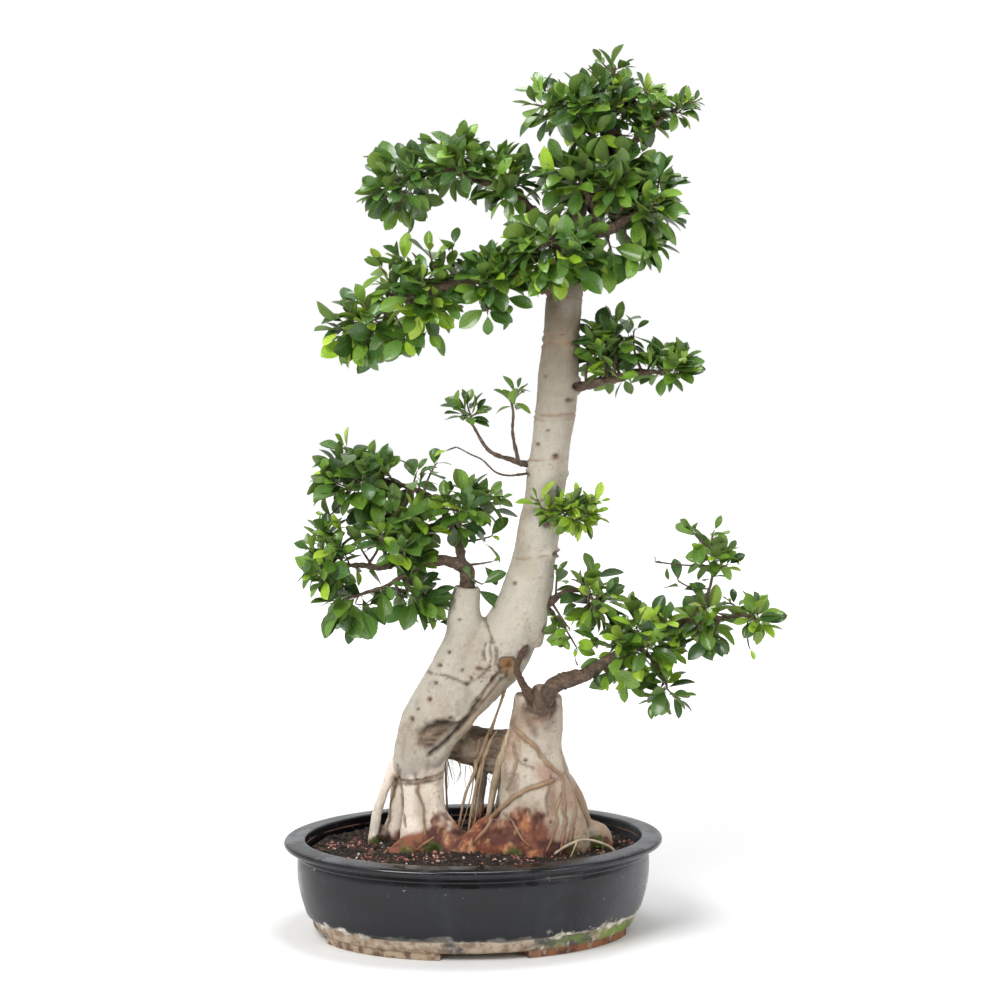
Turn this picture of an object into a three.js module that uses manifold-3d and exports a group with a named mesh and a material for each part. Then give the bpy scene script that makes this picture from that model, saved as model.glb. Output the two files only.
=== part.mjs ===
// Bonsai tree in an oval pot. Millimetres, +Z up.
// The tree is laid out in its own upright frame (X along its face, Y away from the face),
// and the planting turn places that frame in the pot, whose long axis lies along X.
import * as THREE from 'three';
import { mergeVertices } from 'three/addons/utils/BufferGeometryUtils.js';
import Module from 'manifold-3d';

const wasm = await Module();
wasm.setup();

// ---- Driving dimensions -------------------------------------------------------------------

const POT_LENGTH = 560;
const POT_DEPTH = 420;
const POT_HEIGHT = 141;
const RIM_WIDTH = 31;
const LIP_THICKNESS = 11;
const LIP_OVERHANG = 19;
const WALL = 13;
const FLOOR_THICKNESS = 14;
const FOOT_HEIGHT = 10;
const FOOT_WIDTH = 30;
const FOOT_GAP_FRONT = 134;
const FOOT_GAP_END = 110;
const BASE_INSET = 24;
const STEP_DROP = 21;
const FLOOR_CURVE = 8;
const DRAIN_HOLE = 42;
const DRAIN_SPACING = 230;

const MESH_SIDE = 66;
const MESH_THICKNESS = 2;
const MESH_OPENING = 9;
const MESH_OPENINGS_PER_SIDE = 4;

const SOIL_DROP = 21;
const SOIL_MOUND = 9;

const PLANTING_TURN = 6;
const TREE_HEIGHT = 1172;
const TREE_SPREAD = 720;
const TUFT_SCALE = 1;
const ROOT_DEPTH = 66;
const CLEARANCE = 0.3;

// The stations below are drawn for this height above the soil edge and this spread of leaves.
const DRAWN_HEIGHT = 1172;
const DRAWN_SPREAD = 720;
const DRAWN_SOIL_EDGE = 120;

// ---- Materials ----------------------------------------------------------------------------

function finish(colour, roughness) {
  return new THREE.MeshStandardMaterial({ color: colour, roughness, metalness: 0 });
}

const BARK = () => finish(0xcfc3ae, 0.75);
const TWIG = () => finish(0x8a6a4c, 0.8);
const ROOT = () => finish(0xa8865f, 0.8);
const LEAF = () => finish(0x2c5a26, 0.4);
const GLAZE = () => finish(0x1d2028, 0.22);
const SOIL = () => finish(0x2b211b, 0.95);
const PLASTIC = () => finish(0x202020, 0.6);

// ---- Solids -------------------------------------------------------------------------------

function solid(geometry) {
  geometry.deleteAttribute('normal');
  geometry.deleteAttribute('uv');
  const merged = mergeVertices(geometry, 1e-4);
  return new wasm.Manifold(new wasm.Mesh({
    numProp: 3,
    vertProperties: new Float32Array(merged.attributes.position.array),
    triVerts: new Uint32Array(merged.index.array),
  }));
}

function joined(solids) {
  return solids.reduce((sum, next) => sum.add(next));
}

// A cut can leave loose slivers at a thin edge. The piece itself is the largest body.
function largestBody(manifold) {
  const bodies = manifold.decompose();
  return bodies.reduce((best, body) => (body.volume() > best.volume() ? body : best));
}

function addPiece(group, name, manifold, material) {
  const { vertProperties, triVerts } = largestBody(manifold).getMesh();
  const geometry = new THREE.BufferGeometry();
  geometry.setAttribute('position', new THREE.BufferAttribute(vertProperties, 3));
  geometry.setIndex(new THREE.BufferAttribute(triVerts, 1));
  geometry.computeVertexNormals();
  const mesh = new THREE.Mesh(geometry, material);
  mesh.name = name;
  group.add(mesh);
}

// ---- Oval shapes --------------------------------------------------------------------------

// An outline point at long-axis radius r and angle t. Walls keep their thickness all the way
// round, because every radius loses the same amount on the short axis. Inside the knee radius
// the outline shrinks evenly to the centre.
const OVAL_DIFFERENCE = (POT_LENGTH - POT_DEPTH) / 2;
const KNEE_RADIUS = POT_LENGTH / 2 - LIP_OVERHANG - BASE_INSET - 2 * WALL;

function shortRadius(r) {
  if (r >= KNEE_RADIUS) return r - OVAL_DIFFERENCE;
  return (r * (KNEE_RADIUS - OVAL_DIFFERENCE)) / KNEE_RADIUS;
}

function ovalPoint(r, t) {
  return [r * Math.cos(t), shortRadius(r) * Math.sin(t)];
}

// A turned profile of [radius, height] pairs, from axis to axis, made oval.
function ovalSolid(profile, segments = 40) {
  const lathe = new THREE.LatheGeometry(profile.map(([r, z]) => new THREE.Vector2(r, z)), segments);
  const position = lathe.attributes.position;
  for (let i = 0; i < position.count; i += 1) {
    const r = Math.hypot(position.getX(i), position.getZ(i));
    const t = Math.atan2(position.getX(i), position.getZ(i));
    const [x, y] = ovalPoint(r, t);
    position.setXYZ(i, x, y, position.getY(i));
  }
  return solid(lathe);
}

// ---- Pot ----------------------------------------------------------------------------------

const RIM_RADIUS = POT_LENGTH / 2;
const BODY_RADIUS = RIM_RADIUS - LIP_OVERHANG;
const BASE_RADIUS = BODY_RADIUS - BASE_INSET;
const INNER_RADIUS = RIM_RADIUS - RIM_WIDTH;
const FLOOR_TOP = FOOT_HEIGHT + FLOOR_THICKNESS;
const LIP_BOTTOM = POT_HEIGHT - LIP_THICKNESS;
const STEP_HEIGHT = POT_HEIGHT - STEP_DROP;
const BELLY = (STEP_HEIGHT - FOOT_HEIGHT) / 4;

// The inside of the pot, from the floor's centre to the top of the straight wall. The soil fills
// the same outline, set in by its clearance.
function cavityProfile(inset) {
  return [
    [0, FLOOR_TOP + inset],
    [KNEE_RADIUS - inset, FLOOR_TOP + inset],
    [BASE_RADIUS - WALL - inset, FLOOR_TOP + FLOOR_CURVE],
    [BODY_RADIUS - WALL - 5 - inset, FOOT_HEIGHT + 2 * BELLY],
    [INNER_RADIUS - 2 - inset, STEP_HEIGHT - BELLY],
  ];
}

function footSolid(quadrant) {
  const outer = BASE_RADIUS - 3;
  const inner = outer - FOOT_WIDTH;
  const start = Math.asin(FOOT_GAP_END / 2 / shortRadius(outer));
  const end = Math.acos(FOOT_GAP_FRONT / 2 / outer);
  const steps = 7;
  const ring = [];
  for (let i = 0; i <= steps; i += 1) ring.push(ovalPoint(outer, start + ((end - start) * i) / steps));
  for (let i = steps; i >= 0; i -= 1) ring.push(ovalPoint(inner, start + ((end - start) * i) / steps));
  const [signX, signY] = quadrant;
  const corners = ring.map(([x, y]) => new THREE.Vector2(signX * x, signY * y));
  return solid(new THREE.ExtrudeGeometry(new THREE.Shape(corners), {
    depth: FOOT_HEIGHT + FLOOR_THICKNESS / 2,
    bevelEnabled: false,
  }));
}

function drainHole(side) {
  const drill = new THREE.CylinderGeometry(DRAIN_HOLE / 2, DRAIN_HOLE / 2, 3 * FLOOR_THICKNESS, 20);
  drill.rotateX(Math.PI / 2);
  drill.translate((side * DRAIN_SPACING) / 2, 0, FLOOR_TOP - FLOOR_THICKNESS / 2);
  return solid(drill);
}

function potSolid() {
  const body = ovalSolid([
    [0, FOOT_HEIGHT],
    [BASE_RADIUS - 6, FOOT_HEIGHT],
    [BASE_RADIUS, FOOT_HEIGHT + 5],
    [BASE_RADIUS + 6, FOOT_HEIGHT + 20],
    [BASE_RADIUS + 10, FOOT_HEIGHT + 23],
    [BODY_RADIUS - 5, FOOT_HEIGHT + 2 * BELLY],
    [BODY_RADIUS, STEP_HEIGHT - BELLY],
    [BODY_RADIUS, STEP_HEIGHT - 2],
    [BODY_RADIUS + 3, STEP_HEIGHT],
    [BODY_RADIUS + 2, LIP_BOTTOM - 3],
    [RIM_RADIUS - 8, LIP_BOTTOM],
    [RIM_RADIUS - 1, LIP_BOTTOM + 2],
    [RIM_RADIUS, LIP_BOTTOM + LIP_THICKNESS / 2],
    [RIM_RADIUS - 3, POT_HEIGHT - 2],
    [INNER_RADIUS + 3, POT_HEIGHT],
    [0, POT_HEIGHT],
  ]);
  const cavity = ovalSolid([
    ...cavityProfile(0),
    [INNER_RADIUS, POT_HEIGHT - 1],
    [INNER_RADIUS + 6, POT_HEIGHT + 1],
    [0, POT_HEIGHT + 1],
  ]);
  const feet = [[1, 1], [1, -1], [-1, 1], [-1, -1]].map(footSolid);
  return joined([body, ...feet]).subtract(cavity).subtract(drainHole(-1)).subtract(drainHole(1));
}

// ---- Drainage meshes ----------------------------------------------------------------------

function boxSolid(width, depth, height, x, y, z) {
  const box = new THREE.BoxGeometry(width, depth, height);
  box.translate(x, y, z + height / 2);
  return solid(box);
}

function meshPlate(side, clearance = 0) {
  const centre = (side * DRAIN_SPACING) / 2;
  const width = MESH_SIDE + 2 * clearance;
  const bottom = FLOOR_TOP + CLEARANCE - clearance;
  const plate = boxSolid(width, width, MESH_THICKNESS + 2 * clearance, centre, 0, bottom);
  if (clearance > 0) return plate;
  const pitch = MESH_SIDE / (MESH_OPENINGS_PER_SIDE + 0.5);
  const openings = [];
  for (let i = 0; i < MESH_OPENINGS_PER_SIDE; i += 1) {
    for (let j = 0; j < MESH_OPENINGS_PER_SIDE; j += 1) {
      const x = centre + (i - (MESH_OPENINGS_PER_SIDE - 1) / 2) * pitch;
      const y = (j - (MESH_OPENINGS_PER_SIDE - 1) / 2) * pitch;
      openings.push(boxSolid(MESH_OPENING, MESH_OPENING, 3 * MESH_THICKNESS, x, y, bottom - MESH_THICKNESS));
    }
  }
  return plate.subtract(joined(openings));
}

// ---- Wood ---------------------------------------------------------------------------------

const TURN = THREE.MathUtils.degToRad(PLANTING_TURN);
const SOIL_EDGE = POT_HEIGHT - SOIL_DROP;

const ROOT_ZONE = 140;

// Heights count from the soil edge, so the tree stays planted if the pot changes. A wider tree
// spreads above the root zone only, so its roots still fit the pot.
function planted(x, y, z) {
  const rise = z - DRAWN_SOIL_EDGE;
  const spread = THREE.MathUtils.lerp(
    1,
    TREE_SPREAD / DRAWN_SPREAD,
    THREE.MathUtils.smoothstep(rise, 0, ROOT_ZONE),
  );
  const height = rise > 0 ? (rise * TREE_HEIGHT) / DRAWN_HEIGHT : rise;
  return new THREE.Vector3(
    spread * (x * Math.cos(TURN) + y * Math.sin(TURN)),
    spread * (y * Math.cos(TURN) - x * Math.sin(TURN)),
    SOIL_EDGE + height,
  );
}

// A tapering limb through stations of [x, y, z, radius], with flat sawn ends.
function limb(stations, sides = 8, clearance = 0) {
  const curve = new THREE.CatmullRomCurve3(stations.map(([x, y, z]) => planted(x, y, z)));
  const steps = 2 * (stations.length - 1);
  const { tangents, normals, binormals } = curve.computeFrenetFrames(steps, false);
  const limbGeometry = new THREE.CylinderGeometry(1, 1, 1, sides, steps);
  const position = limbGeometry.attributes.position;
  for (let i = 0; i < position.count; i += 1) {
    const station = Math.round((position.getY(i) + 0.5) * steps);
    const along = curve.getUtoTmapping(station / steps) * (stations.length - 1);
    const lower = Math.min(Math.floor(along), stations.length - 2);
    const radius = THREE.MathUtils.lerp(stations[lower][3], stations[lower + 1][3], along - lower);
    const grown = radius + clearance;
    const end = station === 0 ? -clearance : station === steps ? clearance : 0;
    const point = curve.getPointAt(station / steps)
      .addScaledVector(tangents[station], end)
      .addScaledVector(normals[station], position.getX(i) * grown)
      .addScaledVector(binormals[station], -position.getZ(i) * grown);
    position.setXYZ(i, point.x, point.y, point.z);
  }
  return solid(limbGeometry);
}

const ROOT_END = DRAWN_SOIL_EDGE - ROOT_DEPTH;

const TRUNK_LIMBS = [
  { sides: 10, stations: [
    [150, 2, 1075, 13], [143, 0, 1020, 19], [134, 0, 960, 25], [129, 0, 905, 27], [121, 0, 815, 29],
    [117, 0, 750, 29], [107, 0, 675, 30], [98, 0, 609, 31], [87, 0, 543, 33], [68, 0, 480, 41],
    [40, 0, 425, 50], [2, 0, 385, 52], [-34, 0, 343, 48], [-62, 0, 298, 45], [-82, 0, 250, 40],
  ] },
  { sides: 8, stations: [[-9, 0, 511, 21], [-13, 0, 480, 25], [-8, 0, 430, 38], [-10, 0, 385, 46]] },
  { sides: 6, stations: [[72, 2, 470, 36], [86, 2, 445, 24], [89, 0, 421, 11]] },
  { sides: 6, stations: [[-92, 8, 262, 22], [-114, 10, 248, 9], [-138, 6, 190, 7], [-150, 0, 130, 8], [-158, -4, ROOT_END, 5]] },
  { sides: 6, stations: [[-95, 22, 270, 26], [-108, 24, 215, 20], [-116, 24, 150, 19], [-122, 28, ROOT_END, 10]] },
  { sides: 6, stations: [[-86, -2, 262, 30], [-88, -8, 215, 17], [-86, -14, 160, 19], [-84, -20, ROOT_END, 14]] },
  { sides: 6, stations: [
    [-66, 0, 268, 34], [-60, -4, 225, 20], [-50, -14, 175, 21], [-26, -26, 140, 25], [6, -34, 110, 24],
    [40, -40, ROOT_END, 12],
  ] },
  { sides: 8, stations: [[-40, 14, 280, 28], [-10, 16, 272, 31], [20, 16, 268, 33], [62, 8, 262, 36]] },
  { sides: 6, stations: [[8, 20, 262, 22], [10, 20, 225, 9], [7, 18, 175, 8], [3, 14, 120, 9], [0, 12, ROOT_END, 5]] },
  { sides: 10, stations: [
    [95, 0, 351, 36], [92, 0, 300, 42], [91, 0, 250, 49], [95, 0, 200, 62], [97, 0, 150, 80],
    [97, 0, 118, 88], [95, 0, ROOT_END, 60],
  ] },
  { sides: 6, stations: [[148, 0, 215, 14], [166, -4, 185, 13], [179, -6, 150, 17], [184, -8, 115, 16], [186, -8, ROOT_END, 8]] },
  { sides: 6, stations: [[-60, -30, 130, 20], [-96, -38, 126, 20], [-126, -44, 108, 12], [-140, -48, ROOT_END, 5]] },
  { sides: 6, stations: [[10, -34, 132, 22], [60, -48, 134, 24], [110, -50, 126, 22], [150, -50, 96, 10]] },
  { sides: 6, stations: [[20, 30, 120, 20], [80, 64, 118, 22], [130, 70, ROOT_END + 20, 10]] },
  { sides: 6, stations: [[97, -28, 352, 6], [97, -26, 340, 18], [97, -20, 322, 6]] },
];

function trunkSolid(clearance = 0) {
  return joined(TRUNK_LIMBS.map(({ sides, stations }) => limb(stations, sides, clearance)));
}

// Each branch starts inside the trunk and is cut flush to the bark.
const BRANCHES = {
  branch_leader: [[[145, 2, 1060, 11], [168, 0, 1105, 9], [194, 0, 1150, 8], [199, -4, 1210, 5], [200, 0, 1262, 2.5]]],
  branch_crown_right: [[[196, 0, 1140, 6], [232, -8, 1158, 5], [262, -2, 1182, 4], [288, 0, 1203, 2.5]]],
  branch_crown_low_right: [[[140, 0, 1015, 12], [190, -25, 1030, 8], [235, -30, 1052, 5], [262, -20, 1066, 3]]],
  branch_crown_front: [[[140, 0, 985, 12], [128, -38, 1002, 8], [112, -66, 1012, 5], [96, -84, 1004, 3]]],
  branch_crown_back: [[[148, 0, 1045, 11], [160, 46, 1066, 7], [176, 84, 1078, 4], [190, 104, 1080, 3]]],
  branch_upper_left: [[
    [140, 0, 1000, 13], [94, -16, 1050, 9], [32, -22, 1092, 7], [-38, -12, 1116, 5], [-112, 2, 1100, 3],
  ]],
  branch_middle_left: [[
    [131, 0, 940, 14], [84, -18, 958, 10], [12, -26, 960, 8], [-68, -20, 942, 6], [-158, -4, 900, 3],
  ]],
  branch_right: [[[121, 0, 808, 13], [156, -6, 806, 8], [204, -12, 816, 6], [252, -8, 826, 5], [300, 0, 818, 3]]],
  branch_left_twig: [
    [[104, 0, 690, 6], [62, -16, 696, 4], [24, -18, 712, 3.2], [-6, -12, 756, 2.5]],
    [[66, -16, 694, 3.4], [58, -20, 730, 3], [56, -16, 786, 2.5]],
  ],
  branch_front_shoot: [[[100, 0, 604, 7], [106, -38, 610, 5], [116, -56, 620, 4], [140, -64, 632, 2.5]]],
  branch_low_left: [
    [[-8, 0, 500, 12], [-14, -6, 538, 10], [-44, -12, 550, 8], [-98, -16, 546, 6], [-156, -10, 542, 5], [-216, -4, 548, 3]],
    [[-18, -6, 540, 8], [-26, 6, 586, 6], [-60, 4, 640, 5], [-120, 0, 664, 4], [-178, 4, 668, 2.5]],
  ],
  branch_low_right: [
    [[97, -16, 345, 13], [108, -42, 362, 11], [148, -40, 384, 10], [190, -24, 400, 8], [246, -8, 436, 7], [330, 0, 462, 5],
      [412, 4, 468, 3]],
    [[320, 0, 459, 4.5], [344, 2, 500, 3.5], [354, 2, 560, 2.5]],
  ],
  branch_trunk_right: [[[92, 0, 470, 8], [120, -8, 496, 5], [146, -10, 508, 4], [170, -4, 500, 3]]],
  branch_behind_stump: [[[-12, 6, 436, 10], [-26, 46, 446, 5], [-44, 54, 454, 4], [-56, 52, 462, 2.5]]],
};

const FREE_ROOTS = {
  root_climbing: [
    [86, -10, 350, 8], [72, -42, 376, 5.5], [64, -48, 398, 4.5], [70, -38, 418, 5], [80, -8, 436, 6],
  ],
  root_tan: [[44, 0, 262, 8], [31, -12, 225, 6], [22, -14, 180, 5.5], [14, -16, 110, 5]],
  root_aerial_long: [[58, -8, 405, 4], [46, -10, 364, 2.2], [30, -8, 320, 2.2], [24, -4, 285, 3]],
  root_aerial_left: [[4, -6, 262, 4], [-4, -10, 230, 2], [-18, -16, 185, 2], [-30, -18, 110, 2.5]],
  root_aerial_middle: [[14, -8, 255, 4], [4, -14, 220, 2], [-6, -26, 178, 2], [-14, -46, 110, 2.5]],
  root_aerial_near_leg: [[-44, 10, 268, 4], [-42, 12, 230, 1.8], [-40, 16, 185, 1.8], [-38, 20, 110, 2]],
  root_surface: [
    [104, -66, 124, 3.5], [124, -74, 136, 2.6], [150, -68, 148, 2.6], [180, -58, 145, 2.4],
    [206, -50, 132, 2.2], [216, -48, 104, 2],
  ],
};

// ---- Leaf tufts ---------------------------------------------------------------------------

// Each tuft is the outer envelope of the leaves on one spray: centre and half sizes.
const TUFTS = {
  leaves_apex: [[201, 0, 1262], [34, 30, 30]],
  leaves_crown_top: [[176, 0, 1208], [80, 72, 54]],
  leaves_crown_top_right: [[240, 0, 1198], [44, 50, 46]],
  leaves_crown_right_tip: [[292, 0, 1204], [34, 32, 30]],
  leaves_crown_middle: [[170, -22, 1108], [88, 62, 56]],
  leaves_crown_back: [[184, 92, 1082], [76, 52, 58]],
  leaves_crown_low: [[110, -68, 1006], [78, 50, 52]],
  leaves_crown_low_right: [[252, -20, 1070], [52, 56, 66]],
  leaves_upper_left_tip: [[-108, 0, 1096], [54, 46, 54]],
  leaves_upper_left_middle: [[-30, -8, 1130], [58, 50, 46]],
  leaves_upper_left_inner: [[46, -18, 1102], [54, 52, 52]],
  leaves_middle_left_tip: [[-158, 0, 896], [54, 48, 56]],
  leaves_middle_left_middle: [[-72, -16, 940], [68, 58, 56]],
  leaves_middle_left_inner: [[24, -24, 962], [52, 54, 46]],
  leaves_right_inner: [[190, -8, 852], [48, 46, 52]],
  leaves_right_tip: [[276, 0, 836], [54, 44, 38]],
  leaves_left_twig: [[-8, -12, 770], [36, 28, 26]],
  leaves_left_twig_upper: [[56, -16, 790], [28, 26, 32]],
  leaves_front_shoot: [[136, -64, 628], [60, 34, 38]],
  leaves_low_left_top: [[-176, 4, 664], [62, 58, 56]],
  leaves_low_left_outer: [[-218, -4, 558], [46, 54, 62]],
  leaves_low_left_middle: [[-104, -12, 594], [64, 60, 60]],
  leaves_low_left_inner: [[-14, -2, 628], [56, 52, 52]],
  leaves_low_left_bottom: [[-186, -8, 484], [66, 50, 44]],
  leaves_low_left_bottom_inner: [[-92, -14, 498], [54, 48, 46]],
  leaves_low_right_inner: [[172, -6, 496], [46, 44, 52]],
  leaves_low_right_middle: [[240, -8, 436], [68, 60, 62]],
  leaves_low_right_outer: [[332, 0, 456], [48, 46, 50]],
  leaves_low_right_top: [[354, 2, 556], [40, 34, 36]],
  leaves_low_right_tip: [[416, 4, 468], [38, 32, 40]],
  leaves_low_right_bottom: [[282, 2, 362], [38, 38, 42]],
  leaves_behind_stump: [[-56, 52, 460], [18, 16, 20]],
};

// A lumpy closed envelope. The lumps are sines of the direction, so a shape never repeats.
function tuftSolid([centre, halfSizes], clearance = 0) {
  const envelope = new THREE.IcosahedronGeometry(1, 1);
  const position = envelope.attributes.position;
  const middle = planted(...centre);
  for (let i = 0; i < position.count; i += 1) {
    const [x, y, z] = [position.getX(i), position.getY(i), position.getZ(i)];
    const lump = 1 + 0.07 * Math.sin(5 * x + centre[0]) * Math.cos(4 * y + centre[2]) + 0.04 * Math.sin(6 * z);
    const [a, b, c] = halfSizes.map((half) => half * TUFT_SCALE * lump + clearance);
    position.setXYZ(i, middle.x + a * x, middle.y + b * y, middle.z + c * z);
  }
  return solid(envelope);
}

// ---- Assembly -----------------------------------------------------------------------------

function soilSolid() {
  return ovalSolid([
    ...cavityProfile(CLEARANCE),
    [INNER_RADIUS - 2 - CLEARANCE, SOIL_EDGE],
    [RIM_RADIUS / 2, SOIL_EDGE + SOIL_MOUND],
    [0, SOIL_EDGE + SOIL_MOUND],
  ]);
}

const group = new THREE.Group();
const grownTrunk = trunkSolid(CLEARANCE);
const grownFreeRoots = [];
const grownBranches = [];

addPiece(group, 'pot', potSolid(), GLAZE());
addPiece(group, 'drainage_mesh_left', meshPlate(-1), PLASTIC());
addPiece(group, 'drainage_mesh_right', meshPlate(1), PLASTIC());
addPiece(group, 'trunk', trunkSolid(), BARK());

for (const [name, stations] of Object.entries(FREE_ROOTS)) {
  addPiece(group, name, limb(stations, 5).subtract(grownTrunk), ROOT());
  grownFreeRoots.push(limb(stations, 5, CLEARANCE));
}

const buried = joined([grownTrunk, ...grownFreeRoots, meshPlate(-1, CLEARANCE), meshPlate(1, CLEARANCE)]);
addPiece(group, 'soil', soilSolid().subtract(buried), SOIL());

for (const [name, limbs] of Object.entries(BRANCHES)) {
  const blockers = joined([grownTrunk, ...grownFreeRoots, ...grownBranches]);
  addPiece(group, name, joined(limbs.map((stations) => limb(stations, 5))).subtract(blockers), TWIG());
  grownBranches.push(joined(limbs.map((stations) => limb(stations, 5, CLEARANCE))));
}

let taken = joined([grownTrunk, ...grownBranches]);
for (const [name, tuft] of Object.entries(TUFTS)) {
  addPiece(group, name, tuftSolid(tuft).subtract(taken), LEAF());
  taken = taken.add(tuftSolid(tuft, CLEARANCE));
}

// The origin is the middle of the object's footprint, at the level of the feet.
const extent = new THREE.Box3().setFromObject(group);
const middle = extent.getCenter(new THREE.Vector3());
group.position.set(-middle.x, -middle.y, -extent.min.z);
group.updateMatrixWorld(true);

export default group;
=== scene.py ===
# %% [markdown]
# # A fig bonsai in an oval pot
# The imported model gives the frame: where the pot stands, how far each branch reaches and which
# box the leaves may fill. Every cell below makes one piece inside that frame. The tree has its
# own upright frame, in millimetres, turned a little in the pot, so a place on the tree is given
# as (along its face, away from its face, height).

# %% Load the frame
import math
import random

import bpy
import numpy as np
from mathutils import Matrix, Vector, kdtree, noise


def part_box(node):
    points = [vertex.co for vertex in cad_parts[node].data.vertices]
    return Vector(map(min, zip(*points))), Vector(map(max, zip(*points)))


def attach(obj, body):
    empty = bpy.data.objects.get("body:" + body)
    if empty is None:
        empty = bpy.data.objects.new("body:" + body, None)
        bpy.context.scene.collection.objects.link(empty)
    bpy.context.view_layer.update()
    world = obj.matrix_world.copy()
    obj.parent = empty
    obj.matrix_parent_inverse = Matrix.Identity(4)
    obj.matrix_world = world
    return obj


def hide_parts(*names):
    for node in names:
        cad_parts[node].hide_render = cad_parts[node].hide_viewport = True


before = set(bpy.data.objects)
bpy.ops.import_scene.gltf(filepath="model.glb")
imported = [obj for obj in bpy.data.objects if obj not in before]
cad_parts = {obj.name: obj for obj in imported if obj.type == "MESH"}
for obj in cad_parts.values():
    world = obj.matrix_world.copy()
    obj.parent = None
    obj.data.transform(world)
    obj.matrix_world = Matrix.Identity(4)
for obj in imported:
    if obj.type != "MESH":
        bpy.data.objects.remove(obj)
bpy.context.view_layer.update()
MM = 0.001
POT_LOW, POT_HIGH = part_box("pot")
POT_CENTRE = (POT_LOW + POT_HIGH) / 2
TURN = math.radians(6)
COS, SIN = math.cos(TURN), math.sin(TURN)


def planted(x, y, z):
    """A place on the tree, in millimetres, as a point of the frame, in metres."""
    across = POT_CENTRE.x + MM * (x * COS + y * SIN)
    return Vector((across, POT_CENTRE.y + MM * (y * COS - x * SIN), MM * z))


def tree_places(points):
    """Points of the frame (N x 3, metres) as places on the tree, in millimetres."""
    x = (points[:, 0] - POT_CENTRE.x) / MM
    y = (points[:, 1] - POT_CENTRE.y) / MM
    return np.column_stack((x * COS - y * SIN, x * SIN + y * COS, points[:, 2] / MM))


print("pot", [round(v, 3) for v in POT_HIGH - POT_LOW], "nodes", len(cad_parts))

# %% [markdown]
# ## Helpers for meshes
# Wood grows as tubes that taper and bend, so one helper sweeps a ring along a smooth path. It
# could be a curve with a bevel, but a mesh lets every ring have its own size and wobble. The
# path runs through a few stations of (along, away, height, radius).

# %% Mesh helpers


def deselect_all():
    if bpy.context.object and bpy.context.object.mode != "OBJECT":
        bpy.ops.object.mode_set(mode="OBJECT")
    bpy.ops.object.select_all(action="DESELECT")


def make_active(piece):
    deselect_all()
    piece.select_set(True)
    bpy.context.view_layer.objects.active = piece


def mesh_piece(name, points, faces, materials, face_materials=None):
    """A new object from points in the frame, in metres."""
    mesh = bpy.data.meshes.new(name)
    mesh.from_pydata([tuple(p) for p in points], [], faces)
    for material in materials:
        mesh.materials.append(material)
    if face_materials is not None:
        mesh.polygons.foreach_set("material_index", np.asarray(face_materials, np.int32))
    mesh.polygons.foreach_set("use_smooth", np.ones(len(mesh.polygons), bool))
    piece = bpy.data.objects.new(name, mesh)
    bpy.context.scene.collection.objects.link(piece)
    return piece


def apply_modifier(piece, kind, **settings):
    make_active(piece)
    bpy.ops.object.modifier_add(type=kind)
    modifier = piece.modifiers[-1]
    for key, value in settings.items():
        setattr(modifier, key, value)
    bpy.ops.object.modifier_apply(modifier=modifier.name)


def mesh_points(piece):
    points = np.empty(len(piece.data.vertices) * 3)
    piece.data.vertices.foreach_get("co", points)
    return points.reshape(-1, 3)


def mesh_normals(piece):
    normals = np.empty(len(piece.data.vertices) * 3)
    piece.data.vertices.foreach_get("normal", normals)
    return normals.reshape(-1, 3)


def set_points(piece, points):
    piece.data.vertices.foreach_set("co", np.asarray(points, float).ravel())
    piece.data.update()


def tree_of(points):
    """A search tree that finds the nearest of the points."""
    tree = kdtree.KDTree(len(points))
    for i, point in enumerate(points):
        tree.insert(point, i)
    tree.balance()
    return tree


def paint(piece, name, colours):
    """One colour for each vertex, read by the material as an attribute."""
    layer = piece.data.color_attributes.new(name, "FLOAT_COLOR", "POINT")
    layer.data.foreach_set("color", np.column_stack((colours, np.ones(len(colours)))).ravel())


def noise_at(places, size, seed=0.0):
    """Smooth noise from -1 to 1 at each place; size is the width of its lumps."""
    offset = Vector((seed, seed * 1.7, -seed))
    return np.array([noise.noise(Vector(p) / size + offset) for p in places])


def smooth_path(stations, step=6.0):
    """Stations of (x, y, z, radius) filled in along a smooth curve, about one ring per step."""
    knots = np.array(stations, float)
    knots = np.vstack((2 * knots[0] - knots[1], knots, 2 * knots[-1] - knots[-2]))
    rings = []
    for i in range(1, len(knots) - 2):
        a, b, c, d = knots[i - 1:i + 3]
        count = max(2, int(np.linalg.norm(c[:3] - b[:3]) / step))
        for t in np.arange(count) / count:
            rings.append(0.5 * (2 * b + (c - a) * t + (2 * a - 5 * b + 4 * c - d) * t ** 2
                                + (3 * b - a - 3 * c + d) * t ** 3))
    rings.append(knots[-2])
    return np.array(rings)


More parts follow.
